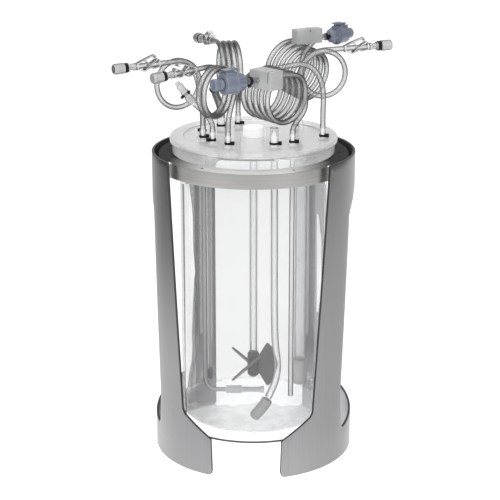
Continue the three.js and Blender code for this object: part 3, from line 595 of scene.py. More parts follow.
def clear_solid(name, face, edge, edge_at=(0.2, 0.7), rough=0.07, gloss=0.8, grain=None, painted_glow=0.0):
    """clear plastic seen as a see-through face with darker, denser edges: Layer
    Weight stands for the longer way through the wall at its edges, and the dark edges are painted refraction.
    face and edge: (colour, colour, density)"""
    m, nt, out = fresh(name)
    lw = node(nt, "ShaderNodeLayerWeight", Blend=0.5)
    dens = remap(nt, lw.outputs["Facing"], 0.0, 1.0, edge_at[0], edge_at[1])
    dens.node.interpolation_type = "SMOOTHSTEP"
    fill = nt.nodes.new("ShaderNodeBsdfPrincipled")
    fill.inputs["Roughness"].default_value = 0.4
    fill.inputs["Specular IOR Level"].default_value = 0.2
    nz = noise(nt, (1, 1, 1), 45, 3)
    mixc = node(nt, "ShaderNodeMix", data_type="RGBA")
    nt.links.new(dens, mixc.inputs[0])
    nt.links.new(ramp(nt, nz, [(0.3, face[0]), (0.7, face[1])]), mixc.inputs[6])
    nt.links.new(ramp(nt, nz, [(0.3, edge[0]), (0.7, edge[1])]), mixc.inputs[7])
    nt.links.new(mixc.outputs[2], fill.inputs["Base Color"])
    # painted light: the fill also glows by painted_glow, raising it out of shade
    if painted_glow:
        nt.links.new(mixc.outputs[2], fill.inputs["Emission Color"])
        fill.inputs["Emission Strength"].default_value = painted_glow
    tr = nt.nodes.new("ShaderNodeBsdfTransparent")
    tr.inputs["Color"].default_value = (0.985, 0.988, 0.99, 1)
    op = remap(nt, dens, face[2], edge[2], 0.0, 1.0)
    mx = nt.nodes.new("ShaderNodeMixShader")
    nt.links.new(op, mx.inputs[0]); nt.links.new(tr.outputs[0], mx.inputs[1]); nt.links.new(fill.outputs[0], mx.inputs[2])
    gl = nt.nodes.new("ShaderNodeBsdfGlossy")
    nt.links.new(remap(nt, noise(nt, (1, 1, 1), 300, 2), rough * 0.8, rough * 1.3), gl.inputs["Roughness"])
    gl.inputs["Color"].default_value = (1, 1, 1, 1)
    fr = node(nt, "ShaderNodeFresnel", IOR=1.42)
    fs = node(nt, "ShaderNodeMath", operation="MULTIPLY"); fs.inputs[1].default_value = gloss
    nt.links.new(fr.outputs[0], fs.inputs[0])
    m2 = nt.nodes.new("ShaderNodeMixShader")
    nt.links.new(fs.outputs[0], m2.inputs[0]); nt.links.new(mx.outputs[0], m2.inputs[1]); nt.links.new(gl.outputs[0], m2.inputs[2])
    if grain:
        nrm = bump(nt, noise(nt, (1, 1, 1), grain[0], 3), grain[1], grain[2])
        nt.links.new(nrm, gl.inputs["Normal"])
    # clear plastic throws only a faint shadow
    lp = nt.nodes.new("ShaderNodeLightPath")
    faint = node(nt, "ShaderNodeMath", operation="MULTIPLY"); faint.inputs[1].default_value = 0.82
    nt.links.new(lp.outputs["Is Shadow Ray"], faint.inputs[0])
    tr2 = nt.nodes.new("ShaderNodeBsdfTransparent")
    m3 = nt.nodes.new("ShaderNodeMixShader")
    nt.links.new(faint.outputs[0], m3.inputs[0]); nt.links.new(m2.outputs[0], m3.inputs[1]); nt.links.new(tr2.outputs[0], m3.inputs[2])
    nt.links.new(m3.outputs[0], out.inputs["Surface"])
    return m


def grey(v, tint=(1.0, 1.0, 1.0)):
    return tuple(v * k for k in tint)


# painted reflection: the outer sheet's steel is darkened by position through sheet_shade
SHEET = steel("brushed_sheet", None, (0.26, 0.26, 0.265), (0.36, 0.36, 0.365), shade=sheet_shade)
RING = steel("brushed_ring", None, (0.34, 0.337, 0.328), (0.48, 0.476, 0.465), up=False, painted_glow=0.10)
# painted light and shade: the ring's top faces are a lighter, glowing copy of its steel, with a dark finish blended in
# at their sides and back
LEDGE = steel("brushed_ledge", None, (0.60, 0.596, 0.585), (0.74, 0.735, 0.72), up=False, shade=side_shade, dark=0.05, painted_glow=0.25)
# painted highlight: a pale metal that glows, for the glints on the ring's front tabs
GLINT = solid_plastic("painted_glint", (0.85, 0.85, 0.85), (0.95, 0.95, 0.95), (0.15, 0.25), 200, 0.00002, Metallic=0.6, Emission_Color=(1, 1, 1, 1), Emission_Strength=0.35)
# painted shade and light: the sheet's inside is a darker copy of its outer steel, darker still near its top and
# brighter towards its right
INNER = steel("brushed_inside", None, (0.19, 0.19, 0.195), (0.26, 0.26, 0.265), shade=top_shade, dark=0.065, painted_light=painted_side_light)
# painted shade: near-black steel for the sheet's cut edges and the ring's hole walls
CUT = steel("cut_edge", None, (0.06, 0.06, 0.062), (0.10, 0.10, 0.102), (0.4, 0.55))
DISC = clear_solid("base_disc_clear", (grey(0.86), grey(0.94), 0.08), (grey(0.7), grey(0.8), 0.15), (0.5, 1.0), rough=0.05, gloss=0.35, painted_glow=0.3)
# painted shade: a near-black finish for the disc's rim in its front half, the dark line along its lower edge
DISCEDGE = clear_solid("base_disc_edge", (grey(0.035), grey(0.055), 0.96), (grey(0.035), grey(0.055), 0.98), (0.3, 1.0), rough=0.2, gloss=0.3)
BRIGHT = clear_solid("bright_tube", (grey(0.80), grey(0.88), 0.80), (grey(0.05), grey(0.08), 0.96), (0.12, 0.36), gloss=0.8, painted_glow=0.3)
PIPE = clear_solid("thin_pipe", (grey(0.60), grey(0.68), 0.45), (grey(0.05), grey(0.08), 0.92), (0.12, 0.4), gloss=0.6, painted_glow=0.12)
HOSE = clear_solid("hose_wall", (grey(0.42), grey(0.49), 0.28), (grey(0.04), grey(0.06), 0.90), (0.10, 0.42), rough=0.11, gloss=0.7, painted_glow=0.14)
BORE = clear_solid("hose_bore", (grey(0.52), grey(0.58), 0.16), (grey(0.09), grey(0.12), 0.75), (0.22, 0.6), gloss=0.1, painted_glow=0.16)
CUFF = clear_solid("hose_end", (grey(0.70), grey(0.78), 0.06), (grey(0.12), grey(0.16), 0.8), (0.4, 0.85), rough=0.07, gloss=0.7)
CLEAR = clear_solid("clear_tube", (grey(0.66), grey(0.74), 0.05), (grey(0.03), grey(0.05), 0.93), (0.26, 0.56), gloss=0.6)
SLEEVE = clear_solid("clear_sleeve", (grey(0.60), grey(0.68), 0.16), (grey(0.22), grey(0.28), 0.62), (0.34, 0.7), gloss=0.3, painted_glow=0.1)
MILKY = clear_solid("milky_fitting", (grey(0.58), grey(0.66), 0.62), (grey(0.03), grey(0.05), 0.96), (0.22, 0.66), rough=0.12, painted_glow=0.14)
CLAMPM = clear_solid("clamp_plastic", (grey(0.84), grey(0.92), 0.45), (grey(0.04), grey(0.06), 0.95), (0.16, 0.55), rough=0.1, painted_glow=0.15)
PLATE = clear_solid("plate_plastic", (grey(0.86), grey(0.92), 0.23), (grey(0.34), grey(0.42), 0.85), (0.4, 1.0), rough=0.08, gloss=0.7, painted_glow=0.28)
HOLEWALL = clear_solid("plate_hole_wall", (grey(0.8), grey(0.88), 0.03), (grey(0.5), grey(0.6), 0.15), (0.5, 1.0), rough=0.1, gloss=0.2)
# painted shade: dark lines round the clear plate's edges
RIMLINE = clear_solid("plate_painted_line", (grey(0.30), grey(0.36), 0.6), (grey(0.26), grey(0.32), 0.7), (0.3, 1.0), rough=0.15, gloss=0.3)
FILM = clear_solid("bag_film", (grey(0.44), grey(0.50), 0.225), (grey(0.5), grey(0.58), 0.30), (0.7, 1.0), rough=0.06, gloss=0.3)
# painted light: the bag's floor film in a whiter, glowing copy for its front half and a nearly clear one behind
BASEFILM = clear_solid("bag_base_film", (grey(0.50), grey(0.92), 0.42), (grey(0.50), grey(0.86), 0.52), (0.3, 1.0), rough=0.2, gloss=0.12, grain=(45, 0.35, 0.002), painted_glow=0.3)
REARFILM = clear_solid("bag_floor_film", (grey(0.86), grey(0.94), 0.06), (grey(0.80), grey(0.88), 0.08), (0.3, 1.0), rough=0.15, gloss=0.05, painted_glow=0.3)
# painted highlight: fold lines on the film are drawn as flat strips in this white, strongly glowing finish
PLEAT_HIGHLIGHT = clear_solid("bag_pleat_highlight", (grey(0.84), grey(0.92), 0.92), (grey(0.8), grey(0.88), 0.95), (0.5, 1.0), rough=0.1, gloss=0.2, painted_glow=0.85)
# dark lines laid flat on the film: one down each side and a short slant on its left
BAG_DARK_LINE = clear_solid("bag_dark_line", (grey(0.10), grey(0.14), 0.8), (grey(0.10), grey(0.14), 0.9), (0.3, 1.0), rough=0.15, gloss=0.1)
# painted light: the white plastic glows, so it stays white where it lies in shade
WHITE = solid_plastic("white_plastic", (0.86, 0.86, 0.85), (0.93, 0.93, 0.92), (0.28, 0.38), 40, Emission_Color=(1, 1, 1, 1), Emission_Strength=0.34)
BLACK = solid_plastic("tie_nylon", (0.004, 0.004, 0.0045), (0.010, 0.010, 0.011), (0.42, 0.55), 120, Specular_IOR_Level=0.25)
RUBBERG = solid_plastic("block_grey", (0.43, 0.435, 0.435), (0.51, 0.515, 0.515), (0.5, 0.65), 50)
IMPEL = solid_plastic("impeller_grey", (0.095, 0.096, 0.099), (0.14, 0.142, 0.145), (0.35, 0.5), 60)
IMPHUB = solid_plastic("impeller_hub", (0.02, 0.02, 0.021), (0.05, 0.05, 0.052), (0.25, 0.4), 60)
FRIT = solid_plastic("frosted_grey", (0.37, 0.372, 0.375), (0.45, 0.452, 0.455), (0.55, 0.7), 300, 0.00012)
FROST = clear_solid("frosted_clear", (grey(0.62), grey(0.7), 0.6), (grey(0.28), grey(0.34), 0.9), (0.3, 1.0), rough=0.35, gloss=0.4)
VIOLET = solid_plastic("probe_tip", (0.07, 0.06, 0.09), (0.13, 0.115, 0.16), (0.35, 0.5), 90)
BLUE = clear_solid("coupling_blue", ((0.19, 0.21, 0.285), (0.235, 0.26, 0.335), 0.86), ((0.07, 0.078, 0.11), (0.10, 0.11, 0.15), 0.97), (0.2, 1.0), rough=0.14)

# ------------------------------------------------------------------- cords
PORT = {
    "t0": (-60.6, 9), "t1": (-60, -21), "t2": (-48, -38), "t3": (-39.5, 40), "t4": (-19, 51),
    "t5": (-29.5, -57), "t6": (24, -56), "t7": (45.6, -46.5), "t8": (51.6, 43), "t9": (82, -16)}
HOSE_R, WIDE_R = 3.175, 4.8
COIL = {
    "left_rear": dict(A=(-20.8, 50.2, 469.3), B=(-42.4, 45.8, 469.3), R=27, p=(0.2, -0.98), t0=0, t1=1170),
    "left_front": dict(A=(-37.6, -54.6, 456.2), B=(-50.8, -45.4, 456.2), R=28.4, p=(0.574, 0.819), t0=0, t1=810),
    "front": dict(A=(7.9, -28.9, 453.7), B=(41, -62, 450.6), R=29, p=(0.707, 0.707), t0=150, t1=54 + 360 * 5),
    "right_rear": dict(A=(36, 66, 470), B=(72, 30, 458), R=29, p=(0.707, 0.707), t0=270, t1=90 - 360 * 5),
}
FOOT_Z = 395.2          # where each hose starts on its barb


def up(name, z):
    return (*PORT[name], z)


def straight(frm, d, s0, s1, n=3):
    d = Vector(d).normalized()
    return [tuple(Vector(frm) + d * (s0 + (s1 - s0) * k / (n - 1))) for k in range(n)]


def pnz(o, n, p, vals):
    """points from (p, n, z) offsets about o"""
    return [(o[0] + p[0] * a + n[0] * b, o[1] + p[1] * a + n[1] * b, c) for a, b, c in vals]


CLAMP_L, NECK, END_GAP = 31, 10, 0.4
ROUTES, TAIL = {}, {}

# left line
_c = coil_points((-91.7, 3.4, 455.6), (-87.7, -3, 455.6), 28, (0.848, 0.53), 8, 450)
TAIL["left"] = dict(at=tuple(_c[-1]), dir=(-0.848, -0.5, -0.02), s=26, lever=False)
ROUTES["left"] = [up("t0", FOOT_Z), up("t0", 406), up("t0", 418), (-61.6, 10.4, 430), (-65, 15, 446), *_c[::2]]
# right line
_c = coil_points((81.9, 1.4, 467.3), (83.9, 8.6, 467.3), 27.4, (0.966, 0.26), 172, -270)
TAIL["right"] = dict(at=tuple(_c[-1]), dir=(0.962, 0.27, 0.03), s=24, lever=True)
ROUTES["right"] = [up("t7", FOOT_Z), up("t7", 404), (46.4, -45.7, 414), (51, -41.2, 420.5), (57.4, -35, 427.6), (61, -28.5, 437), (60, -17.5, 449), *_c[::2]]
# left front line
_q = COIL["left_front"]; _c = coil_points(**_q)
_top = _c[-1]
TAIL["left_front"] = dict(at=(_top[0] - 4.6, _top[1] - 6.6, _top[2] + 0.6), dir=(-0.79, -0.61, -0.06), s=14, lever=True)
ROUTES["left_front"] = [up("t5", FOOT_Z), up("t5", 406), up("t5", 418), (-28.4, -53.6, 429), (-24.9, -45, 441.5), (-21.8, -35, 452), *_c[::2]]
# left rear line
_q = COIL["left_rear"]; _c = coil_points(**_q)
_top = _c[-1]
TAIL["left_rear"] = dict(at=(_top[0] - 2.6, _top[1] + 11, _top[2] + 0.4), dir=(-0.35, 0.932, -0.095), s=14, lever=False)
ROUTES["left_rear"] = [up("t4", FOOT_Z), up("t4", 406), up("t4", 417), (-18.3, 47, 427), (-17, 38.5, 437), (-16, 28, 447), (-15.4, 22.5, 457), *_c[::2]]
for _n in ("left", "right", "left_front", "left_rear"):
    t = TAIL[_n]
    b0 = t["s"] + CLAMP_L + 1.2
    t["end"] = b0 - END_GAP
    first = 12 if _n in ("left", "right") else 9
    if _n in ("left_front", "left_rear"):
        ROUTES[_n].append(t["at"])
    ROUTES[_n] += straight(t["at"], t["dir"], first, t["end"], 4)

COUPLING = {
    "front": dict(at=(3.4, -79.4, 476), dir=(-0.84, -0.54, 0), k=1.0),
    "rear": dict(at=(81.2, 40, 504.4), dir=(0.72, 0.69, 0), k=0.88),
}
# front coil: its end goes over the top, through the block and on to the coupling
_q = dict(COIL["front"]); _q["t1"] = 54 + 360 * 5 + 20
_c = coil_points(**_q)
_e = COUPLING["front"]
ROUTES["front"] = [up("t9", FOOT_Z), up("t9", 408), up("t9", 425), (82.2, -16, 443), (80.8, -16, 457), (75.5, -16, 470.5), (67, -16, 479),
                   (57, -15, 482), (44, -11.5, 480), (30, -7.5, 476.5), (17, -8.5, 474.5), (5, -17, 474.5), (-3.5, -31, 473.5), *_c[::2],
                   *pnz((41, -62), (-0.707, 0.707), (0.707, 0.707), [(-4, 1.0, 479.2), (-14, 3.6, 478.4), (-24, 8.2, 477.0)]),
                   *straight(_e["at"], _e["dir"], -5, 12.6, 4)]
# right rear coil: its last turn climbs into the block and on to the coupling
_q = dict(COIL["right_rear"]); _q["t1"] = 150 - 360 * 5
_c = coil_points(**_q)
_e = COUPLING["rear"]
ROUTES["right_rear"] = [up("t8", FOOT_Z), up("t8", 402), (52.6, 44, 409), (56.5, 50, 416), (59.5, 60, 423), (57, 71, 431), (48.5, 75.5, 438.5), *_c[::2],
                        *pnz((36, 66), (0.707, -0.707), (0.707, 0.707), [(-18.5, 49.8, 484.5), (-9.5, 49.4, 493.5), (0.5, 49.6, 500.4)]),
                        *straight(_e["at"], _e["dir"], -5, 12.6, 4)]
ROUTES["sampling"] = [up("t2", FOOT_Z), up("t2", 405), (-48.2, -37.8, 414), (-50.8, -36.2, 420.4), (-57, -33, 427.6), (-64.4, -31, 434), (-69.6, -30.2, 438.2)]
ROUTES["spare_wide"] = [up("t3", FOOT_Z), up("t3", 408), (-39.9, 39.4, 417), (-42, 35.4, 426), (-45.4, 27.6, 437), (-48.2, 19.2, 448.5)]
ROUTES["spare_left"] = [up("t1", FOOT_Z), up("t1", 404), up("t1", 414), (-60.4, -20.6, 426)]
ROUTES["spare_front"] = [up("t6", FOOT_Z), up("t6", 402), up("t6", 409), up("t6", 415.5)]
REPLACED = {
    "left": ["left_hose"], "right": ["right_hose"],
    "left_front": ["left_front_riser", "left_front_coil", "left_front_tail"],
    "left_rear": ["left_rear_riser", "left_rear_coil", "left_rear_tail"],
    "front": ["front_riser", "front_coil"], "right_rear": ["right_rear_riser", "right_rear_coil"],
    "sampling": ["sampling_hose"], "spare_wide": ["spare_hose_wide"],
    "spare_left": ["spare_hose_left"], "spare_front": ["spare_hose_front"]}
CORDS = {}
for name, ctrl in ROUTES.items():
    r = WIDE_R if name in ("spare_wide", "spare_front") else HOSE_R
    line = eased(spaced(route(ctrl, 6), 2.2), 3)
    L = length_of(line)
    barb_r = 3.7 if r == WIDE_R else 2.4
    ends_on_barb = name in ("front", "right_rear")

    def outer(s, r=r, L=L, e=ends_on_barb, b=barb_r):
        over = 1 - min(1, max(0, (s - 12.5) / 4.5))
        if e:
            over = max(over, 1 - min(1, max(0, (L - s - 12.5) / 4)))
        over = over * over * (3 - 2 * over)
        return r + (b + 1.15 - r) * over * 0.8 if b + 1.15 > r else r

    def inner(s, r=r, L=L, e=ends_on_barb, b=barb_r):
        over = 1 - min(1, max(0, (s - 12.5) / 4.5))
        if e:
            over = max(over, 1 - min(1, max(0, (L - s - 12.5) / 4)))
        over = over * over * (3 - 2 * over)
        bore = 0.5 * r
        return bore + (b + 0.12 - bore) * over

    g = tube(line, outer, 18, inner)
    # outside, inside and end faces in their own finishes
    n_skin = (len(line) - 1) * 18
    g.m = [0] * n_skin + [1] * n_skin + [0] * (len(g.f) - 2 * n_skin)
    run = 0.0
    for i in range(len(line) - 1):
        run += float(np.linalg.norm(np.array(line[i + 1]) - np.array(line[i])))
        if run < (40 if name == "spare_front" else 12.5) or (ends_on_barb and L - run < 13):
            for j in range(18):
                g.m[i * 18 + j] = g.m[n_skin + i * 18 + j] = 2
    o = piece(name + "_line", g, HEAD, [HOSE, BORE, CUFF], replaces=REPLACED[name], sharp=50)
    CORDS[name] = dict(obj=o, line=[head_m(q) for q in line], length=L / 1000, r=r)


def boolean(a, b, op="DIFFERENCE"):
    """a cut by, or joined to, b; both are Geo"""
    objs = []
    for g in (a, b):
        me = bpy.data.meshes.new("tmp")
        me.from_pydata(g.v, [], g.f)
        bm = bmesh.new(); bm.from_mesh(me)
        bmesh.ops.remove_doubles(bm, verts=bm.verts, dist=1e-4)
        bmesh.ops.recalc_face_normals(bm, faces=bm.faces)
        bm.to_mesh(me); bm.free()
        o = bpy.data.objects.new("tmp", me)
        scene.collection.objects.link(o)
        objs.append(o)
    md = objs[0].modifiers.new("b", "BOOLEAN")
    md.operation, md.solver, md.object = op, "EXACT", objs[1]
    bpy.context.view_layer.update()
    dg = bpy.context.evaluated_depsgraph_get()
    me = objs[0].evaluated_get(dg).to_mesh()
    out = Geo()
    out.v = [tuple(v.co) for v in me.vertices]
    out.f = [tuple(p.vertices) for p in me.polygons]
    out.m = [0] * len(out.f)
    objs[0].evaluated_get(dg).to_mesh_clear()
    for o in objs:
        me = o.data
        bpy.data.objects.remove(o)
        bpy.data.meshes.remove(me)
    return out


ROT_X = Matrix.Rotation(math.pi / 2, 4, "Y")      # lays a lathe's axis along +X


# --------------------------------------------------------------- cable ties
def tie(at, axis, r, head_dir, width=2.6, thick=1.0):
    """a nylon tie round a hose: band, and square head on one side"""
    g = Geo()
    prof = soften([(r, -width / 2), (r + thick, -width / 2), (r + thick, width / 2), (r, width / 2)], 0.25, 2)
    band = lathe(prof, 40)
    z = Vector(axis).normalized()
    x = (Vector(head_dir) - z * Vector(head_dir).dot(z)).normalized()
    y = z.cross(x)
    M = Matrix((x, y, z)).transposed().to_4x4()
    M.translation = Vector(at)
    g.join(band, M)
    g.join(box_geo(r - 0.1, r + 4.2, -2.4, 2.4, -2.0, 2.0, 0.5, 2), M)
    g.join(box_geo(r + 0.3, r + 1.5, 2.0, 4.0, -1.1, 1.1, 0.3, 2), M)
    return g


TIE_HEADS = {"t0": (-0.7, 0.7), "t1": (1, 0.2), "t2": (-1, -0.15), "t3": (0.4, 0.9), "t4": (1, 0.25),
             "t5": (1, -0.1), "t6": (1, -0.1), "t7": (1, -0.1), "t8": (0.3, 0.9), "t9": (1, -0.1)}
ties = Geo()
for _n, (x, y) in PORT.items():
    wide = _n in ("t3", "t6")
    r = (3.7 + 1.15) if wide else 3.5
    ties.join(tie((x, y, 397.2), (0, 0, 1), r - 0.15, (*TIE_HEADS[_n], 0)))
piece("cable_ties", ties, HEAD, BLACK, sharp=30)

# ------------------------------------------- pinch clamps, connectors, caps
def strip(path, t, w, close=False):
    """the outline of a moulded strip: the path in X, Z thickened by t; w is not used"""
    P = eased(spaced([(a, 0, b) for a, b in path], 0.45), 2)[:, [0, 2]]
    n = len(P)
    T = np.gradient(P, axis=0); T /= np.linalg.norm(T, axis=1)[:, None]
    Nn = np.stack([-T[:, 1], T[:, 0]], 1)
    outl = [tuple(P[i] + Nn[i] * t / 2) for i in range(n)] + [tuple(P[i] - Nn[i] * t / 2) for i in reversed(range(n))]
    return outl


def clamp_geo(flip):
    """pinch clamp in its own frame: hose along X at Z 0, from its hinge at 0 to 31"""
    w = 3.3
    def F(path):
        return [((CLAMP_L - a) if flip else a, b) for a, b in path]
    g = Geo()
    parts = [  # sprung arm with its hooked tip, the two teeth crossing beside the hose, the base
        (strip(F([(0.8, 2.6), (6, 5.1), (12, 7.2), (18, 9.3), (24.4, 11.0)]), 1.5, w), w),
        (strip(F([(24.2, 10.9), (25.4, 9.9), (25.2, 8.6), (23.6, 8.2)]), 1.1, w), w),
        (strip(F([(11.0, 6.6), (13.4, 4.6), (16.2, 1.5), (18.6, -1.0), (20.4, -3.4)]), 1.2, w), w + 0.7),
        (strip(F([(10.8, -5.2), (14.5, -2.4), (19, 1.0), (25, 4.9), (28.4, 6.2), (30.2, 4.2)]), 1.2, w), w + 0.7),
        (strip(F([(0.8, -0.6), (2.6, -3.0), (6, -5.0), (10.8, -5.9), (14.5, -4.4), (18.6, -2.6), (20.4, -4.3), (24.6, -4.2), (30.2, -2.4)]), 1.3, w), w)]
    for q, ww in parts:
        g.join(slab(q, -ww, ww, 0.3))
    # eyes the hose runs through
    for s in (1.1, 29.9):
        s = CLAMP_L - s if flip else s
        eye = lathe(soften([(3.45, -1.0), (4.4, -1.0), (4.4, 1.0), (3.45, 1.0)], 0.25, 2), 32)
        g.join(eye, Matrix.Translation((s, 0, 0)) @ ROT_X)
    return g


def turn_x(profile, segs=48, r=0.25, n=2):
    return lathe(soften(profile, r, n), segs), ROT_X


def connector_geo(b0):
    g = Geo()
    prof = [(0, b0), (4.3, b0), (4.3, b0 + 2.4), (3.5, b0 + 3.2), (3.5, b0 + NECK - 2), (5.3, b0 + NECK - 1.6),
            (5.3, b0 + NECK - 0.2), (3.4, b0 + NECK + 0.2), (3.4, b0 + NECK + 3.4), (3.1, b0 + NECK + 4), (3.1, b0 + NECK + 14), (0, b0 + NECK + 14)]
    a, M = turn_x(prof)
    g.join(a, M)
    # two small wings on the neck
    for k in (-1, 1):
        g.join(box_geo(b0 + 3.6, b0 + NECK - 2.4, min(k * 3.2, k * 5.6), max(k * 3.2, k * 5.6), -0.6, 0.6, 0.3, 2))
    return g


def ring_geo(b0):
    """black gasket ring between connector and cap"""
    a, M = turn_x([(3.5, b0 + NECK - 0.1), (5.75, b0 + NECK - 0.1), (5.75, b0 + NECK + 3.9), (3.5, b0 + NECK + 3.9)], 48, 0.45, 3)
    return Geo().join(a, M)


def cap_geo(b0):
    c0 = b0 + NECK + 4.6
    c1 = c0 + 13
    g = Geo()
    a, M = turn_x([(0, c1), (5.0, c1), (5.75, c1 - 0.7), (5.75, c1 - 1.6), (6.0, c1 - 2.0), (6.0, c0 + 1.2), (6.2, c0 + 0.8), (6.2, c0), (3.5, c0), (3.5, c1 - 2.2), (0, c1 - 2.2)], 48, 0.2, 2)
    g.join(a, M)
    # grip ribs along the cap
    for k in range(18):
        th = 2 * math.pi * k / 18
        rib = box_geo(c0 + 1.4, c1 - 1.8, -0.38, 0.38, 5.7, 6.35, 0.18, 1)
        g.join(rib, Matrix.Rotation(th, 4, "X"))
    return g


for _n, t in TAIL.items():
    M = HEAD @ frame_of(t["at"], t["dir"])
    s0 = t["s"]
    clamp = piece(_n + "_clamp", clamp_geo(not t["lever"]), M @ Matrix.Translation((s0, 0, 0)), CLAMPM,
                  replaces=[_n + "_pinch_clamp"], sharp=32)
    b0 = s0 + CLAMP_L + 1.2
    con = piece(_n + "_screw_connector", connector_geo(b0), M, MILKY, replaces=[_n + "_connector"], sharp=32)
    gasket = piece(_n + "_gasket", ring_geo(b0), M, BLACK, sharp=40)
    cap = piece(_n + "_screw_cap", cap_geo(b0), M, MILKY, body=_n + "_cap", replaces=[_n + "_cap"], sharp=32)
    CORDS[_n]["with"] = [clamp, con, gasket, cap]

# --------------------------------------------------------- quick couplings
def coupling_geo():
    g = Geo()
    # hose barb with two teeth, neck, ribbed barrel, flange, front ring
    prof = [(1.4, 0.4), (2.4, 0.4), (3.0, 3.4), (2.6, 3.8), (3.0, 7.4), (2.6, 7.8), (3.1, 11.6), (2.9, 13.6), (5.6, 14.2), (6.4, 15.2), (8.9, 17.6), (9.2, 18.6), (9.2, 27.4),
            (10.2, 28.4), (13.2, 28.6), (13.4, 29.2), (13.4, 30.8), (13.0, 31.4), (12.2, 31.9), (12.2, 44.6), (11.4, 45.6), (6.9, 45.6), (6.9, 37.2), (1.4, 37.0)]
    a = lathe(soften(prof, 0.35, 2), 64)
    slot = Geo().join(box_geo(32.6, 42.4, -5.4, 5.4, 6.2, 17, 0.4, 2))
    body = Geo().join(a, ROT_X)
    body = boolean(body, slot)
    g.join(body)
    for k in range(10):                      # grip ribs on the barrel
        th = math.radians(36 * k + 18)
        g.join(box_geo(19.2, 27.2, -0.6, 0.6, 8.9, 10.0, 0.25, 2), Matrix.Rotation(th, 4, "X"))
    for k in (-1, 1):                        # rails beside the latch
        g.join(box_geo(32.2, 45.2, min(k * 5.7, k * 7.4), max(k * 5.7, k * 7.4), 9.0, 13.6, 0.4, 2))
    return g


def latch_geo():
    g = box_geo(33, 42, -5, 5, 8.8, 15.3, 0.4, 2)
    pad = slab(rounded([(25, 15.2, 0.5), (44.5, 15.1, 0.5), (44.5, 16.2, 0.5), (36, 16.7, 6), (26, 16.4, 0.5)], 4), -5.6, 5.6, 0.3)
    g.join(pad)
    for k in range(4):                       # thumb ridges
        g.join(box_geo(27.6 + 2.6 * k, 28.6 + 2.6 * k, -4.6, 4.6, 16.2, 16.9, 0.25, 2))
    return g


def insert_geo():
    a, M = turn_x([(0, 37.4), (5.4, 37.4), (5.4, 44.6), (6.2, 45.9), (6.2, 47.2), (5.2, 48.0), (4.9, 49.0), (4.5, 49.6), (4.5, 51.3), (6.6, 52.2), (7.1, 53.2), (7.1, 57.2), (6.4, 58.3), (4.2, 58.5), (3.6, 57.0), (0, 56.8)], 56, 0.35, 2)
    return Geo().join(a, M)


for _n, cord in (("front", "front"), ("rear", "right_rear")):
    q = COUPLING[_n]
    M = HEAD @ frame_of(q["at"], q["dir"]) @ Matrix.Scale(q["k"], 4)
    body = piece(_n + "_coupling_shell", coupling_geo(), M, BLUE, replaces=[_n + "_coupling_body"], sharp=34)
    latch = piece(_n + "_thumb_latch", latch_geo(), M, BLUE, body=_n + "_latch", replaces=[_n + "_coupling_latch"], sharp=34)
    ins = piece(_n + "_coupling_plug", insert_geo(), M, BLUE, replaces=[_n + "_coupling_insert"], sharp=34)
    band = Geo().join(tie((8.6, 0, 0), (1, 0, 0), 3.75, (0, -0.5, -1) if _n == "front" else (0, -1, 0.2), 3.2, 1.1))
    band = piece(_n + "_coupling_tie", band, M, BLACK, sharp=30)
    CORDS[cord]["with"] = [body, latch, ins, band]

# -------------------------------------------------------- grey tubing blocks
def block_piece(name, centre, size, grooves, cad, turn=45):
    sx, sy, sz = size
    b = box_geo(-sx / 2, sx / 2, -sy / 2, sy / 2, -sz / 2, sz / 2, 0.9, 3)
    for gq in grooves:
        b = boolean(b, gq)
    M = HEAD @ Matrix.Translation(centre) @ Matrix.Rotation(turn * D2R, 4, "Z")
    return piece(name, b, M, RUBBERG, replaces=[cad], sharp=30)


_f = (41 + -0.707 * 10 + 0.707 * -27.5, -62 + 0.707 * 10 + 0.707 * -27.5, 476.4)
fb = block_piece("front_block", _f, (20.5, 34, 21.4),
                 [box_geo(-11, 11, -13.2, -11.8, -3, 11, 0.2, 1), lathe([(0, 4), (1.3, 4), (1.3, 14), (0, 14)], 20)],
                 "front_tubing_block")
_r = (63.8, 29.6, 508.2)
rb = block_piece("rear_block", _r, (35, 14, 17.5),
                 [box_geo(-0.8, 0.8, -8, 8, 5.3, 10, 0.1, 1)], "rear_tubing_block", 30)
CORDS["front"]["with"].append(fb)
CORDS["right_rear"]["with"].append(rb)

# ------------------------------------------------------- sampling connector
_a, _d = (-70.3, -30.1, 439.0), (-0.62, 0, 0.785)
M = HEAD @ frame_of(_a, _d)
g = Geo()
a, R = turn_x([(0, 0), (4.2, 0), (4.6, 0.8), (4.6, 10.6), (3.4, 12), (3.4, 15), (4.9, 15.6), (4.9, 17.8), (4, 18.4), (4, 26.4), (3, 27.4), (3, 31), (0, 31)], 40)
g.join(a, R)
for k in range(8):
    g.join(box_geo(1.4, 10.2, -0.4, 0.4, 4.4, 5.1, 0.2, 1), Matrix.Rotation(math.radians(45 * k), 4, "X"))
sc = piece("sampling_valve", g, M, MILKY, replaces=["sampling_connector"], sharp=32)
bar = box_geo(12.0, 15.2, -2.6, 2.6, -7.6, 5.6, 0.7, 2)
sb = piece("sampling_clip", bar, M, BLACK, sharp=30)
CORDS["sampling"]["with"] = [sc, sb]

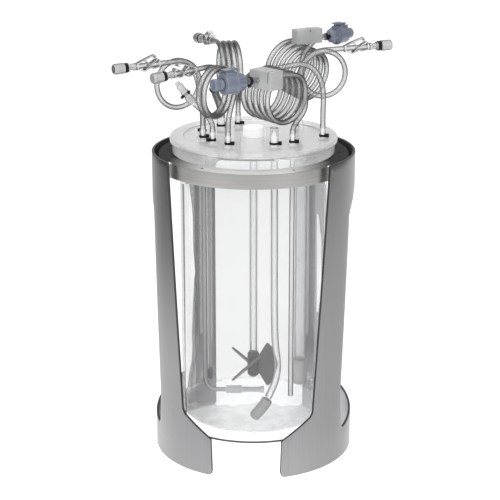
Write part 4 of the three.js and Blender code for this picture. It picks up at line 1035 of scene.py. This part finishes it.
# tie round the end of the wide spare hose, and a plug in it
_p = ROUTES["spare_wide"]
_e, _b = Vector(_p[-1]), Vector(_p[-2])
_d = (_e - _b).normalized()
st = piece("spare_hose_tie", tie(_e - _d * 3.2, _d, WIDE_R + 0.05, (1, -0.4, 0), 2.8, 1.0), HEAD, BLACK, sharp=30)
pl = Geo().join(lathe(soften([(0, -9), (2.3, -9), (2.3, 0.2), (4.6, 0.3), (4.6, 1.6), (0, 1.6)], 0.3, 2), 32))
_z = _d; _x = Vector((1, 0, 0)); _x = (_x - _z * _x.dot(_z)).normalized(); _y = _z.cross(_x)
_M = Matrix((_x, _y, _z)).transposed().to_4x4(); _M.translation = _e
sp = piece("spare_hose_plug", pl, HEAD @ _M, WHITE, sharp=32)
CORDS["spare_wide"]["with"] = [st, sp]

CORD_FACTS = {
    "left": "connector", "right": "connector", "left_front": "connector", "left_rear": "connector",
    "front": "connector", "right_rear": "connector", "sampling": "fitting", "spare_wide": "plug"}
for _n, far in CORD_FACTS.items():
    c = CORDS[_n]

# ------------------------------------------------------------- steel stand
SR, ST, SH = 122.0, 3.0, 377.0


def arc(deg):
    return deg * D2R * SR


def stand_geo():
    top_s = arc(51.2) + 0.6 + (arc(40) - arc(51.2) - 0.6) * (389 - SH) / (389 - 73)
    half, whole, foot = math.pi * SR, 2 * math.pi * SR, 5.5
    slot = arc(28.7)
    lead = [(top_s, SH, 1.2), (arc(40), 73, 9), (arc(20.3), 47, 4), (arc(19.7), 7.5, 0), (arc(19.7), foot, 1.5),
            (arc(19.7) + foot * 0.3, foot * 0.3, 1.5), (arc(19.7) + foot, 0, 1.2),
            (half - slot - foot, 0, 1.2), (half - slot - foot * 0.3, foot * 0.3, 1.5), (half - slot, foot, 1.5), (half - slot, 335, 12)]
    outer = lead + [(whole - s, z, r) for s, z, r in reversed(lead)]
    win = [(arc(66.4), 37, 9), (arc(78), 40.5, 60), (arc(117), 54, 30), (arc(136.5), 60, 9),
           (arc(136.5), 335, 10), (arc(87.5), 335, 8), (arc(73.4), 309, 8), (arc(64.6), 86, 30)]
    win_l = [(arc(131) if i in (3, 4) else s, z, r) for i, (s, z, r) in enumerate(win)]
    loops = [rounded(outer, 8), rounded(win, 8), [(whole - s, z) for s, z in reversed(rounded(win_l, 8))]]

    def signed(q):
        return sum(q[i][0] * q[(i + 1) % len(q)][1] - q[(i + 1) % len(q)][0] * q[i][1] for i in range(len(q)))

    # outer loop runs with the metal on its left, holes the other way
    full = []
    for k, q in enumerate(loops):
        if (signed(q) > 0) != (k == 0):
            q = q[::-1]
        out = []
        n = len(q)
        for i in range(n):
            a, b = np.array(q[i]), np.array(q[(i + 1) % n])
            d = np.linalg.norm(b - a)
            m = max(1, int(math.ceil(d / 4.0)))
            for j in range(m):
                p = a + (b - a) * j / m
                if not out or np.linalg.norm(p - out[-1]) > 0.05:
                    out.append(p)
        full.append(np.array(out))
    B = 0.55

    def inset(P, d):
        n = len(P)
        e = np.roll(P, -1, 0) - P
        e /= np.linalg.norm(e, axis=1)[:, None]
        nl = np.stack([-e[:, 1], e[:, 0]], 1)           # left of the way round: into the metal
        m = nl + np.roll(nl, 1, 0)
        m /= np.linalg.norm(m, axis=1)[:, None]
        k = np.maximum(0.5, (m * nl).sum(1))
        return P + m * (d / k)[:, None]

    def inside(pts):
        res = np.zeros(len(pts), bool)
        for P in full:
            x, y = pts[:, 0][:, None], pts[:, 1][:, None]
            x1, y1 = P[:, 0], P[:, 1]
            x2, y2 = np.roll(P[:, 0], -1), np.roll(P[:, 1], -1)
            cond = (y1 > y) != (y2 > y)
            with np.errstate(divide="ignore", invalid="ignore"):
                xi = (x2 - x1) * (y - y1) / (y2 - y1) + x1
            res ^= (np.sum(cond & (x < xi), axis=1) % 2).astype(bool)
        return res

    ins = [inset(P, B) for P in full]
    coords, edges = [], []
    for P in ins:
        o = len(coords)
        coords += [Vector(q) for q in P]
        edges += [(o + i, o + (i + 1) % len(P)) for i in range(len(P))]
    nb = len(coords)
    gs, gz = np.meshgrid(np.arange(42, 2 * math.pi * SR - 42, 5.0), np.arange(8, 374, 15.0))
    gp = np.stack([gs.ravel(), gz.ravel()], 1)
    gp = gp[inside(gp)]
    allb = np.concatenate(full)
    near = np.array([np.min(np.hypot(allb[:, 0] - a, allb[:, 1] - b)) for a, b in gp])
    gp = gp[near > 2.6]
    coords += [Vector(q) for q in gp]
    res = delaunay_2d_cdt(coords, edges, [], 0, 1e-5)
    verts2 = np.array([list(v) for v in res[0]])
    tris = np.array([list(f) for f in res[2]])
    cen = verts2[tris].mean(1)
    tris = tris[inside(cen)]
    origin = [o[0] if o else -1 for o in res[3]]
    g = Geo()

    def wrap(s, z, r):
        return (r * math.sin(s / SR), -r * math.cos(s / SR), z)

    # rolled edge profile: inset and radius through the sheet
    steps = [(B * (1 - math.sin(a * D2R)), SR - B * (1 - math.cos(a * D2R))) for a in (0, 30, 60, 90)]
    steps += [(B * (1 - math.sin(a * D2R)), SR - ST + B * (1 - math.cos(a * D2R))) for a in (90, 60, 30, 0)]
    ring_start = []
    for d, r in steps:
        ring_start.append(len(g.v))
        for P in full:
            Q = inset(P, d)
            g.v += [wrap(s, z, r) for s, z in Q]
    off = 0
    for P in full:
        n = len(P)
        for a, b in zip(ring_start[:-1], ring_start[1:]):
            for i in range(n):
                j = (i + 1) % n
                g.f.append((a + off + i, a + off + j, b + off + j, b + off + i))
        off += n
    for r, start, flip in ((SR, ring_start[0], False), (SR - ST, ring_start[-1], True)):
        idx = {}
        for k in range(len(verts2)):
            if 0 <= origin[k] < nb:
                idx[k] = start + origin[k]
            else:
                idx[k] = len(g.v)
                g.v.append(wrap(verts2[k][0], verts2[k][1], r))
        for t in tris:
            f = tuple(idx[i] for i in t)
            g.f.append(f[::-1] if flip else f)
    g.m = [0] * len(g.f)
    return g


sheet = stand_geo()
def sheet_side(f):
    rr = [math.hypot(*sheet.v[i][:2]) for i in f]
    if max(rr) < SR - ST + 0.3:
        return 1
    return 2 if min(rr) < SR - 0.02 else 0


# painted shade: the sheet's inside takes the darker INNER steel and its cut edges the near-black CUT steel
sheet.m = [sheet_side(f) for f in sheet.f]
piece("stand_sheet", sheet, STAND, [SHEET, INNER, CUT], replaces=["stand_shell"], sharp=50)

# ring with its tabs and holes
RT = 374.3
ring = lathe(soften([(111, RT - 18), (113.5, RT - 18), (113.5, RT), (91.5, RT), (91.5, RT - 2.5), (111, RT - 2.5)], 0.5, 3), 180)
for a in (54.6, 144, -54.6, -144):
    tab = box_geo(112.6, 118.9, -3, 3, RT - 18, RT, 0.5, 2)
    ring = boolean(ring, Geo().join(tab, Matrix.Rotation((a - 90) * D2R, 4, "Z")), "UNION")
for a in (30.8, 90, 149.2, -30.8, -90, -149.2):
    c = lathe([(0, RT - 5), (1.9, RT - 5), (1.9, RT + 2), (0, RT + 2)], 24)
    ring = boolean(ring, Geo().join(c, Matrix.Translation((103.2 * math.sin(a * D2R), -103.2 * math.cos(a * D2R), 0))))
ring.m = []
HOLES = [(103.2 * math.sin(a * D2R), -103.2 * math.cos(a * D2R)) for a in (30.8, 90, 149.2, -30.8, -90, -149.2)]
# the ring's flat top faces take the lighter LEDGE steel (painted light and shade), hole walls the near-black CUT steel
# (painted shade) and the front tabs' tops the glowing GLINT finish (painted highlight)
for f in ring.f:
    q = np.array([ring.v[i] for i in f])
    nrm = np.cross(q[1] - q[0], q[2] - q[0])
    flat = abs(nrm[2]) > 0.7 * max(np.linalg.norm(nrm), 1e-9)
    c = q.mean(0)
    if not flat and min(math.hypot(c[0] - x, c[1] - y) for x, y in HOLES) < 2.2:
        ring.m.append(2)
    elif flat and q[:, 2].mean() > RT - 3:
        ring.m.append(3 if math.hypot(*q[:, :2].max(0)) > 0 and np.hypot(q[:, 0], q[:, 1]).min() > 113.3 and c[1] < 0 else 1)
    else:
        ring.m.append(0)
piece("ring_band", ring, STAND, [RING, LEDGE, CUT, GLINT], replaces=["support_ring"], sharp=30)

# painted highlights: small glowing plates on the two front tabs stand in for the glints on their tops
beads = Geo()
for a in (54.6, -54.6):
    beads.join(box_geo(113.2, 118.7, -3.2, 3.2, RT - 0.6, RT + 0.35, 0.3, 2), Matrix.Rotation((a - 90) * D2R, 4, "Z"))
piece("tab_painted_glints", beads, STAND, GLINT, sharp=40)

disc = lathe(soften([(0, 39.5), (106, 39.5), (106, 42), (0, 42)], 0.5, 3), 160)
for a in (50, 145, -50, -145):
    tab = box_geo(104, 118.9, -8, 8, 39.5, 42, 0.5, 2)
    disc = boolean(disc, Geo().join(tab, Matrix.Rotation((a - 90) * D2R, 4, "Z")), "UNION")
# painted shade: the disc's rim faces in its front half take the near-black DISCEDGE finish
disc.m = [1 if np.mean([disc.v[i][1] for i in f]) < 10 and min(math.hypot(*disc.v[i][:2]) for i in f) > 105.2 and np.ptp([math.hypot(*disc.v[i][:2]) for i in f]) < 2 else 0 for f in disc.f]
piece("floor_disc", disc, STAND, [DISC, DISCEDGE], replaces=["base_disc"], sharp=30)

# --------------------------------------------------------------- head plate
plate = lathe(soften([
    (13.05, 394.0), (13.4, 393.0), (83, 393), (84.2, 394.6), (99.2, 394.6), (100.5, 393.2), (100.5, 389.2), (99.6, 388.1),
    (97.5, 388.0), (97.5, 376.2), (96.3, 374.65), (92.2, 374.65), (92.2, 388), (16, 388), (15.7, 385.5), (13.05, 385.5)], 0.5, 3), 200)
plate.m = [1 if max(math.hypot(*plate.v[i][:2]) for i in f) < 17 else 0 for f in plate.f]
piece("head_plate_disc", plate, HEAD, [PLATE, HOLEWALL], replaces=["head_plate"], sharp=32)
def arc_line(r, z, a0, a1, t):
    """a fine dark line round the plate between two azimuths, front = 0: painted shade standing in for the refraction at
    the plate's edges and the shadow under its rim
    """
    return tube([(r * math.sin(a * D2R), -r * math.cos(a * D2R), z) for a in np.linspace(a0, a1, max(8, int(abs(a1 - a0) / 2)))], t, 8)


lines = Geo()
lines.join(arc_line(83.7, 394.0, -179, 179, 0.28))
lines.join(arc_line(99.9, 388.4, -150, 150, 0.3))
lines.join(arc_line(97.4, 386.6, -24, 14, 0.75))
piece("plate_painted_lines", lines, HEAD, RIMLINE, sharp=60)
bosses = Geo()
for _n, (x, y) in PORT.items():
    r = 5.4 if _n == "t9" else 6.2
    bosses.join(lathe(soften([(0, 376.6), (r, 376.6), (r, 388.4), (0, 388.4)], 0.5, 2), 40), Matrix.Translation((x, y, 0)))
    bosses.join(lathe(soften([(0, 392.9), (r - 0.4, 392.9), (r - 0.4, 394.4), (0, 394.4)], 0.4, 2), 40), Matrix.Translation((x, y, 0)))
for x, y, r, z in ((57.5, 30, 3.1, 404.5), (13.8, -15, 2.9, 407)):
    bosses.join(lathe(soften([(0, 378), (r, 378), (r, z), (0, z)], 0.5, 2), 28), Matrix.Translation((x, y, 0)))
piece("port_bosses", bosses, HEAD, PLATE, sharp=32)
barbs = Geo()
for _n, (x, y) in PORT.items():
    w = 3.9 if _n in ("t3", "t6") else 2.45
    prof = [(0, 393.6), (w + 0.1, 393.6), (w, 395), (w, 402.2), (w + 0.12, 402.6), (w - 0.1, 406.4), (w - 0.4, 409.2), (w - 1.2, 409.9), (0, 409.9)]
    barbs.join(lathe(soften(prof, 0.15, 2), 32), Matrix.Translation((x, y, 0)))
piece("hose_barbs", barbs, HEAD, WHITE, sharp=32)

hub = lathe(soften([(0, 404.5), (0.01, 404.5), (11.6, 404.5), (12.7, 403.4), (12.7, 380), (10.7, 380), (10.7, 402.5), (0, 402.5)], 0.5, 4), 96)
piece("hub_cup", hub, HEAD, WHITE, replaces=["drive_hub"], sharp=32)
N = frame["nodes"]
for n, m in (("drive_magnet", BLACK), ("shaft_bearing", WHITE)):
    N[n].data.materials.clear(); N[n].data.materials.append(m)

# ---------------------------------------------------------------- impeller
def impeller_geo():
    g = lathe(soften([(0, 84.5), (4.6, 84.5), (7.2, 87.5), (7.2, 115), (5.9, 116.5), (5.05, 116.5), (5.05, 102.1), (0, 102.1)], 0.6, 3), 64)
    half = [(5.6, 9.5, 0), (17.2, 29.9, 2.2), (24.6, 22, 14), (30.9, 0, 0)]
    outl = half + [(x, -z, r) for x, z, r in reversed(half[:3])]
    pts = rounded([(x, z, r) for x, z, r in outl], 8)
    blade = slab(pts, -1.2, 1.2, 0.3)       # X reach, Z chord, Y thickness
    for b in range(3):
        M = Matrix.Translation((0, 0, 100)) @ Matrix.Rotation(b * 120 * D2R, 4, "Z") @ Matrix.Rotation(-45 * D2R, 4, "X")
        g = boolean(g, Geo().join(blade, M), "UNION")
    keep = lathe([(0, 102.1), (5.05, 102.1), (5.05, 130), (0, 130)], 48)
    g = boolean(g, keep)
    for z in (92.5, 96, 99.5, 103, 106.5, 110):      # ribs round the hub
        g.join(lathe(soften([(7.0, z), (7.75, z + 0.3), (7.75, z + 1.0), (7.0, z + 1.3)], 0.2, 2), 48))
    return g


blades = impeller_geo()
blades.m = [1 if max(math.hypot(*blades.v[i][:2]) for i in f) < 8.4 else 0 for f in blades.f]
piece("impeller_blades", blades, HEAD, [IMPEL, IMPHUB], body="stirrer", replaces=["impeller"], sharp=32)
shaft = tube([(0, 0, z) for z in np.linspace(102.6, 388.0, 24)], 4.7, 40, 3.0)
shaft.m = [0] * len(shaft.f)
piece("shaft_tube", shaft, HEAD, CLEAR, body="stirrer", replaces=["stirrer_shaft"], sharp=50)

# ------------------------------------------------------- tubes and probes
dip = [(24.4, -56, 375.9), (24.6, -56, 330), (24.9, -56, 250), (25.2, -56, 190), (26.3, -56, 152), (28.6, -56.3, 130), (29.2, -57, 116), (26.6, -58, 101), (21.6, -59.3, 88), (18.2, -60, 80.3)]
piece("dip_pipe", tube(spaced(route(dip, 8), 3), 4.35, 32, 2.9), HEAD, CLEAR, replaces=["dip_tube"], sharp=50)
tip = [(17.0, -60.2, 77.6), (13.9, -60.7, 71.9), (8.5, -61.3, 64.5), (3, -61.7, 58.2), (-1.2, -62, 53.6)]
tl = spaced(route(tip, 8), 0.8)
tL = length_of(tl)
def tip_r(s):
    a = min(1, max(0, s / 1.2)); e = max(0.0, (s - (tL - 5.4)) / 5.4)
    return 6.9 * (0.86 + 0.14 * a) * math.sqrt(max(0.02, 1 - e * e * 0.97))
tipg = tube(tl, tip_r, 36)
piece("dip_pipe_end", tipg, HEAD, FRIT, replaces=["dip_tube_tip"], sharp=50)
samp = tube([(45.6, -46.5, z) for z in np.linspace(77, 375.9, 20)], 3.15, 32, 2.2)
piece("sample_pipe", samp, HEAD, BRIGHT, replaces=["sample_tube"], sharp=50)
slv = lathe(soften([(0, 95.5), (7.4, 95.5), (7.4, 375.9), (6.2, 375.9), (6.2, 97.2), (0, 97.2)], 0.4, 2), 56)
piece("sensor_tube", slv, HEAD @ Matrix.Translation((58.8, 30, 0)), SLEEVE, replaces=["sensor_sleeve"], sharp=40)
capg = lathe(soften([(0, 63.5), (8.6, 63.5), (9.4, 64.6), (9.4, 93.6), (8.4, 95.1), (0, 95.1)], 0.6, 3), 56)
piece("sensor_end", capg, HEAD @ Matrix.Translation((58.8, 30, 0)), FROST, replaces=["sensor_cap"], sharp=40)
spg = [(-60.6, 9, 375.9), (-60.6, 9, 330), (-60.6, 9, 250), (-60.6, 9, 150), (-60.6, 9, 86), (-60.2, 9, 76), (-57.4, 9, 67.4), (-51, 9, 62.9), (-44, 9, 62.2), (-34.9, 9, 62.2)]
piece("sparger_line", tube(spaced(route(spg, 8), 2.5), 2.6, 28, 1.8), HEAD, PIPE, replaces=["sparger_pipe"], sharp=50)
Ms = HEAD @ Matrix.Translation((-34.5, 9, 62.2)) @ ROT_X
piece("sparger_sleeve_ring", lathe(soften([(0, 0), (4.4, 0), (4.9, 0.6), (4.9, 19.6), (4.3, 20.2), (0, 20.2)], 0.4, 2), 44), Ms, FROST, replaces=["sparger_sleeve"], sharp=32)
piece("sparger_nozzle", lathe(soften([(0, 20.6), (3.2, 20.6), (3.2, 43), (4.3, 43.6), (4.3, 47.4), (3.8, 48), (0, 48)], 0.35, 2), 44), Ms, FROST, replaces=["sparger_tip"], sharp=32)
prb = lathe(soften([(0, 97), (4.1, 97), (4.1, 375.9), (3.2, 375.9), (3.2, 98.4), (0, 98.4)], 0.3, 2), 44)
piece("probe_sleeve", prb, HEAD @ Matrix.Translation((-53.8, -8, 0)), CLEAR, replaces=["probe_tube"], sharp=40)
prt = lathe(soften([(0, 84.2), (3, 84.2), (3.7, 85.4), (3.7, 96.6), (0, 96.6)], 0.4, 2), 40)
piece("probe_end", prt, HEAD @ Matrix.Translation((-53.8, -8, 0)), VIOLET, replaces=["probe_tip"], sharp=40)

# --------------------------------------------------------------------- bag
def smooth(a, b, x):
    t = np.clip((x - a) / (b - a), 0, 1)
    return t * t * (3 - 2 * t)


def px_azimuth(x_px, z, r=88.7):
    """azimuth on the bag's front at height z for a column of the picture"""
    th = 0.0
    for _ in range(6):
        y = -r * math.cos(th)
        d = (y + 1833.946) * math.cos(PITCH) + (822.484 - z) * math.sin(PITCH)
        th = math.asin(max(-1, min(1, (x_px - 253.6) * d / 1569.311 / r)))
    return th


def px_height(y_px, th, r=88.7):
    """height on the bag's front for a row of the picture"""
    y = -r * math.cos(th)
    k = (y_px - 250) / 1569.311
    a, c, sn = y + 1833.946, math.cos(PITCH), math.sin(PITCH)
    return 822.484 - a * (k * c + sn) / (c - k * sn)


def film_strip(left, right, r, push=0.0):
    """a strip lying on the film between two edges given as picture (x, y) points"""
    g = Geo()
    ys = np.linspace(left[0][1], left[-1][1], 40)
    lx = np.interp(ys, [q[1] for q in left], [q[0] for q in left])
    rx = np.interp(ys, [q[1] for q in right], [q[0] for q in right])
    for y, a, b in zip(ys, lx, rx):
        for k in range(5):
            x = a + (b - a) * k / 4
            th = px_azimuth(x, 250, r)
            for _ in range(3):
                z = px_height(y, th, r)
                th = px_azimuth(x, z, r)
            rr = r + push * math.sin(math.pi * k / 4)
            g.v.append((rr * math.sin(th), -rr * math.cos(th), z))
    for i in range(len(ys) - 1):
        for k in range(4):
            o = i * 5 + k
            g.f.append((o, o + 5, o + 6, o + 1))
    g.m = [0] * len(g.f)
    return g


def bag_geo():
    nt_, nz_ = 300, 170
    th = np.linspace(0, 2 * math.pi, nt_, endpoint=False)
    # profile down the wall, round the tight corner and across the floor
    prof = [(90.6, 387.3), (90.6, 376), (89.4, 366), (88.9, 350), (88.9, 300), (88.9, 220), (88.9, 140), (88.9, 80), (88.8, 60),
            (88.3, 52), (86.9, 46.6), (84.0, 43.6), (80, 42.9), (70, 42.8), (60, 42.7), (40, 42.7), (20, 42.6), (0.5, 42.6)]
    line = spaced(route([(r, 0, z) for r, z in prof], 8), 1)
    n = len(line)
    run = np.linspace(0, n - 1, nz_)
    R = np.interp(run, np.arange(n), line[:, 0])
    Z = np.interp(run, np.arange(n), line[:, 2])
    rng = np.random.default_rng(11)
    TH, RR = np.meshgrid(th, R)
    _, ZZ = np.meshgrid(th, Z)
    front = (TH + math.pi / 2 + math.pi) % (2 * math.pi) - math.pi     # 0 at the front, + to the right
    d = np.zeros_like(TH)
    hang = smooth(60, 120, ZZ) * (1 - smooth(362, 384, ZZ))
    # slow unevenness of a filled film, and small wrinkles low down
    for _ in range(14):
        k = rng.integers(2, 6); q = rng.uniform(0.003, 0.012); ph = rng.uniform(0, 6.28); ph2 = rng.uniform(0, 6.28)
        d += rng.uniform(0.04, 0.12) * np.sin(k * TH + ph) * np.sin(q * ZZ + ph2) * hang
    low = (1 - smooth(60, 100, ZZ)) * smooth(42.5, 48, ZZ)
    for _ in range(30):
        k = rng.integers(14, 46); ph = rng.uniform(0, 6.28); q = rng.uniform(0.03, 0.12); ph2 = rng.uniform(0, 6.28)
        d += rng.uniform(0.03, 0.14) * np.sin(k * TH + ph + 0.5 * np.sin(q * ZZ)) * (0.5 + 0.5 * np.sin(q * ZZ + ph2)) * low
    RR2 = np.minimum(RR + np.minimum(d, 0.6), 90.9)
    zz = ZZ.copy()
    wr = np.zeros_like(TH)
    for _ in range(30):
        a = rng.uniform(0, 6.28); f = rng.uniform(0.12, 0.5); ph = rng.uniform(0, 6.28)
        wr += rng.uniform(0.03, 0.15) * np.sin(f * (RR * np.cos(TH) * math.cos(a) + RR * np.sin(TH) * math.sin(a)) + ph)
    zz += np.where(ZZ < 46, np.abs(wr) * smooth(2, 20, RR), 0)
    X, Y = RR2 * np.cos(TH), RR2 * np.sin(TH)
    g = Geo()
    g.v = [tuple(q) for q in np.stack([X.ravel(), Y.ravel(), zz.ravel()], 1)]
    for i in range(nz_ - 1):
        for j in range(nt_):
            k = (j + 1) % nt_
            g.f.append((i * nt_ + j, (i + 1) * nt_ + j, (i + 1) * nt_ + k, i * nt_ + k))
    g.v.append((0, 0, 42.6))
    c = len(g.v) - 1
    for j in range(nt_):
        k = (j + 1) % nt_
        g.f.append(((nz_ - 1) * nt_ + j, c, (nz_ - 1) * nt_ + k))
    # painted light: the floor of the bag is drawn whiter and glowing in its front half, to a wavy line, and nearly
    # clear behind it
    g.m = []
    for f in g.f:
        q = np.array([g.v[i] for i in f]).mean(0)
        edge = 6 + 5 * math.sin(q[0] * 0.09 + 1) + 3 * math.sin(q[0] * 0.31)
        g.m.append((1 if q[1] < edge else 4) if q[2] < 46.5 else 0)
    def add(strip_g, mat):
        o = len(g.v)
        g.v.extend(strip_g.v)
        g.f.extend(tuple(o + i for i in f) for f in strip_g.f)
        g.m.extend([mat] * len(strip_g.f))
    # strips of material 2 are fold lines drawn flat on the film with a painted highlight
    add(film_strip([(184.8, 184), (185.0, 224), (186.0, 388)], [(189.3, 184), (191.8, 205), (192.7, 216), (193.4, 250), (195.3, 273), (194.2, 280), (193.3, 300), (192.2, 330), (192.6, 346), (191.7, 362), (189.2, 375), (187.6, 388)], 88.0), 2)
    # strips of material 3 are dark lines laid flat on the film
    add(film_strip([(185.2, 225), (195.0, 272)], [(185.9, 225), (195.6, 272)], 87.6), 3)
    add(film_strip([(316.8, 214), (316.8, 312)], [(318.5, 214), (321.5, 240), (321.5, 290), (318.2, 312)], 88.0), 2)
    add(film_strip([(182.2, 184), (184.0, 300), (186.2, 430)], [(184.2, 184), (185.6, 300), (187.2, 430)], 87.8), 3)
    add(film_strip([(325.4, 184), (323.0, 430)], [(326.6, 184), (324.2, 430)], 87.8), 3)
    return g


bag = piece("bag_film_wall", bag_geo(), HEAD, [FILM, BASEFILM, PLEAT_HIGHLIGHT, BAG_DARK_LINE, REARFILM], replaces=["bag"], sharp=80)

# ------------------------------------------------------- floor and lighting
me = bpy.data.meshes.new("floor")
me.from_pydata([(-1.5, -1.5, 0), (1.5, -1.5, 0), (1.5, 6.0, 0), (-1.5, 6.0, 0)], [], [(0, 1, 2, 3)])
floor = bpy.data.objects.new("floor", me)
scene.collection.objects.link(floor)
m, nt, out = fresh("pale_floor")
p = nt.nodes.new("ShaderNodeBsdfPrincipled")
nt.links.new(ramp(nt, noise(nt, (1, 1, 1), 3, 2), [(0.3, (0.78, 0.78, 0.78)), (0.7, (0.82, 0.82, 0.82))]), p.inputs["Base Color"])
p.inputs["Roughness"].default_value = 0.9
p.inputs["Specular IOR Level"].default_value = 0.05
# painted light: the floor glows, at 0.95 within 0.10 m of its centre under the stand and falling to 0.5 beyond 0.24 m,
# which lightens the stand's shadow
p.inputs["Emission Color"].default_value = (1, 1, 1, 1)
tc = nt.nodes.new("ShaderNodeTexCoord")
vl = node(nt, "ShaderNodeVectorMath", operation="LENGTH")
nt.links.new(tc.outputs["Object"], vl.inputs[0])
nt.links.new(remap(nt, vl.outputs["Value"], 0.95, 0.5, 0.10, 0.24), p.inputs["Emission Strength"])
nt.links.new(p.outputs["BSDF"], out.inputs["Surface"])
me.materials.append(m)

world = bpy.data.worlds.new("studio")
scene.world = world
world.use_nodes = True
nt = world.node_tree
nt.nodes.clear()
wo = nt.nodes.new("ShaderNodeOutputWorld")
bg = nt.nodes.new("ShaderNodeBackground")
tc = nt.nodes.new("ShaderNodeTexCoord")
sp = nt.nodes.new("ShaderNodeSeparateXYZ")
nt.links.new(tc.outputs["Generated"], sp.inputs[0])
up_ = remap(nt, sp.outputs["Z"], 0.42, 0.85, 0.0, 0.8)
side = node(nt, "ShaderNodeMath", operation="ABSOLUTE")
nt.links.new(sp.outputs["X"], side.inputs[0])
sd = remap(nt, side.outputs[0], 1.0, 0.35, 0.35, 0.95)
mu = node(nt, "ShaderNodeMath", operation="MULTIPLY")
nt.links.new(up_, mu.inputs[0]); nt.links.new(sd, mu.inputs[1])
behind = remap(nt, sp.outputs["Y"], 0.0, 0.95, 0.45, 0.9)
mx = node(nt, "ShaderNodeMath", operation="MAXIMUM")
nt.links.new(mu.outputs[0], mx.inputs[0]); nt.links.new(behind, mx.inputs[1])
nt.links.new(mx.outputs[0], bg.inputs["Strength"])
bg.inputs["Color"].default_value = (1, 1, 1, 1)
nt.links.new(bg.outputs[0], wo.inputs["Surface"])


def area(name, at, to, size, power, col=(1, 1, 1)):
    L = bpy.data.lights.new(name, "AREA")
    L.shape = "RECTANGLE"
    L.size, L.size_y = size
    L.energy = power
    L.color = col
    o = bpy.data.objects.new(name, L)
    scene.collection.objects.link(o)
    o.location = at
    o.rotation_mode = "QUATERNION"
    o.rotation_quaternion = (Vector(to) - Vector(at)).to_track_quat("-Z", "Y")
    return o


area("key", (-1.0, -1.9, 1.7), (0, 0, 0.25), (1.1, 1.1), 20)
area("fill", (1.4, -1.7, 1.2), (0, 0, 0.25), (0.9, 1.2), 10)
area("top", (0, 0.4, 2.4), (0, 0, 0.2), (2.0, 2.0), 8)
scene.view_settings.view_transform = "Standard"
scene.view_settings.look = "None"
scene.view_settings.exposure = 0.0
scene.cycles.max_bounces = 24
scene.cycles.transparent_max_bounces = 64
scene.cycles.transmission_bounces = 24
scene.cycles.glossy_bounces = 6
scene.cycles.diffuse_bounces = 4
scene.cycles.caustics_reflective = False
scene.cycles.caustics_refractive = False
scene.cycles.use_denoising = True
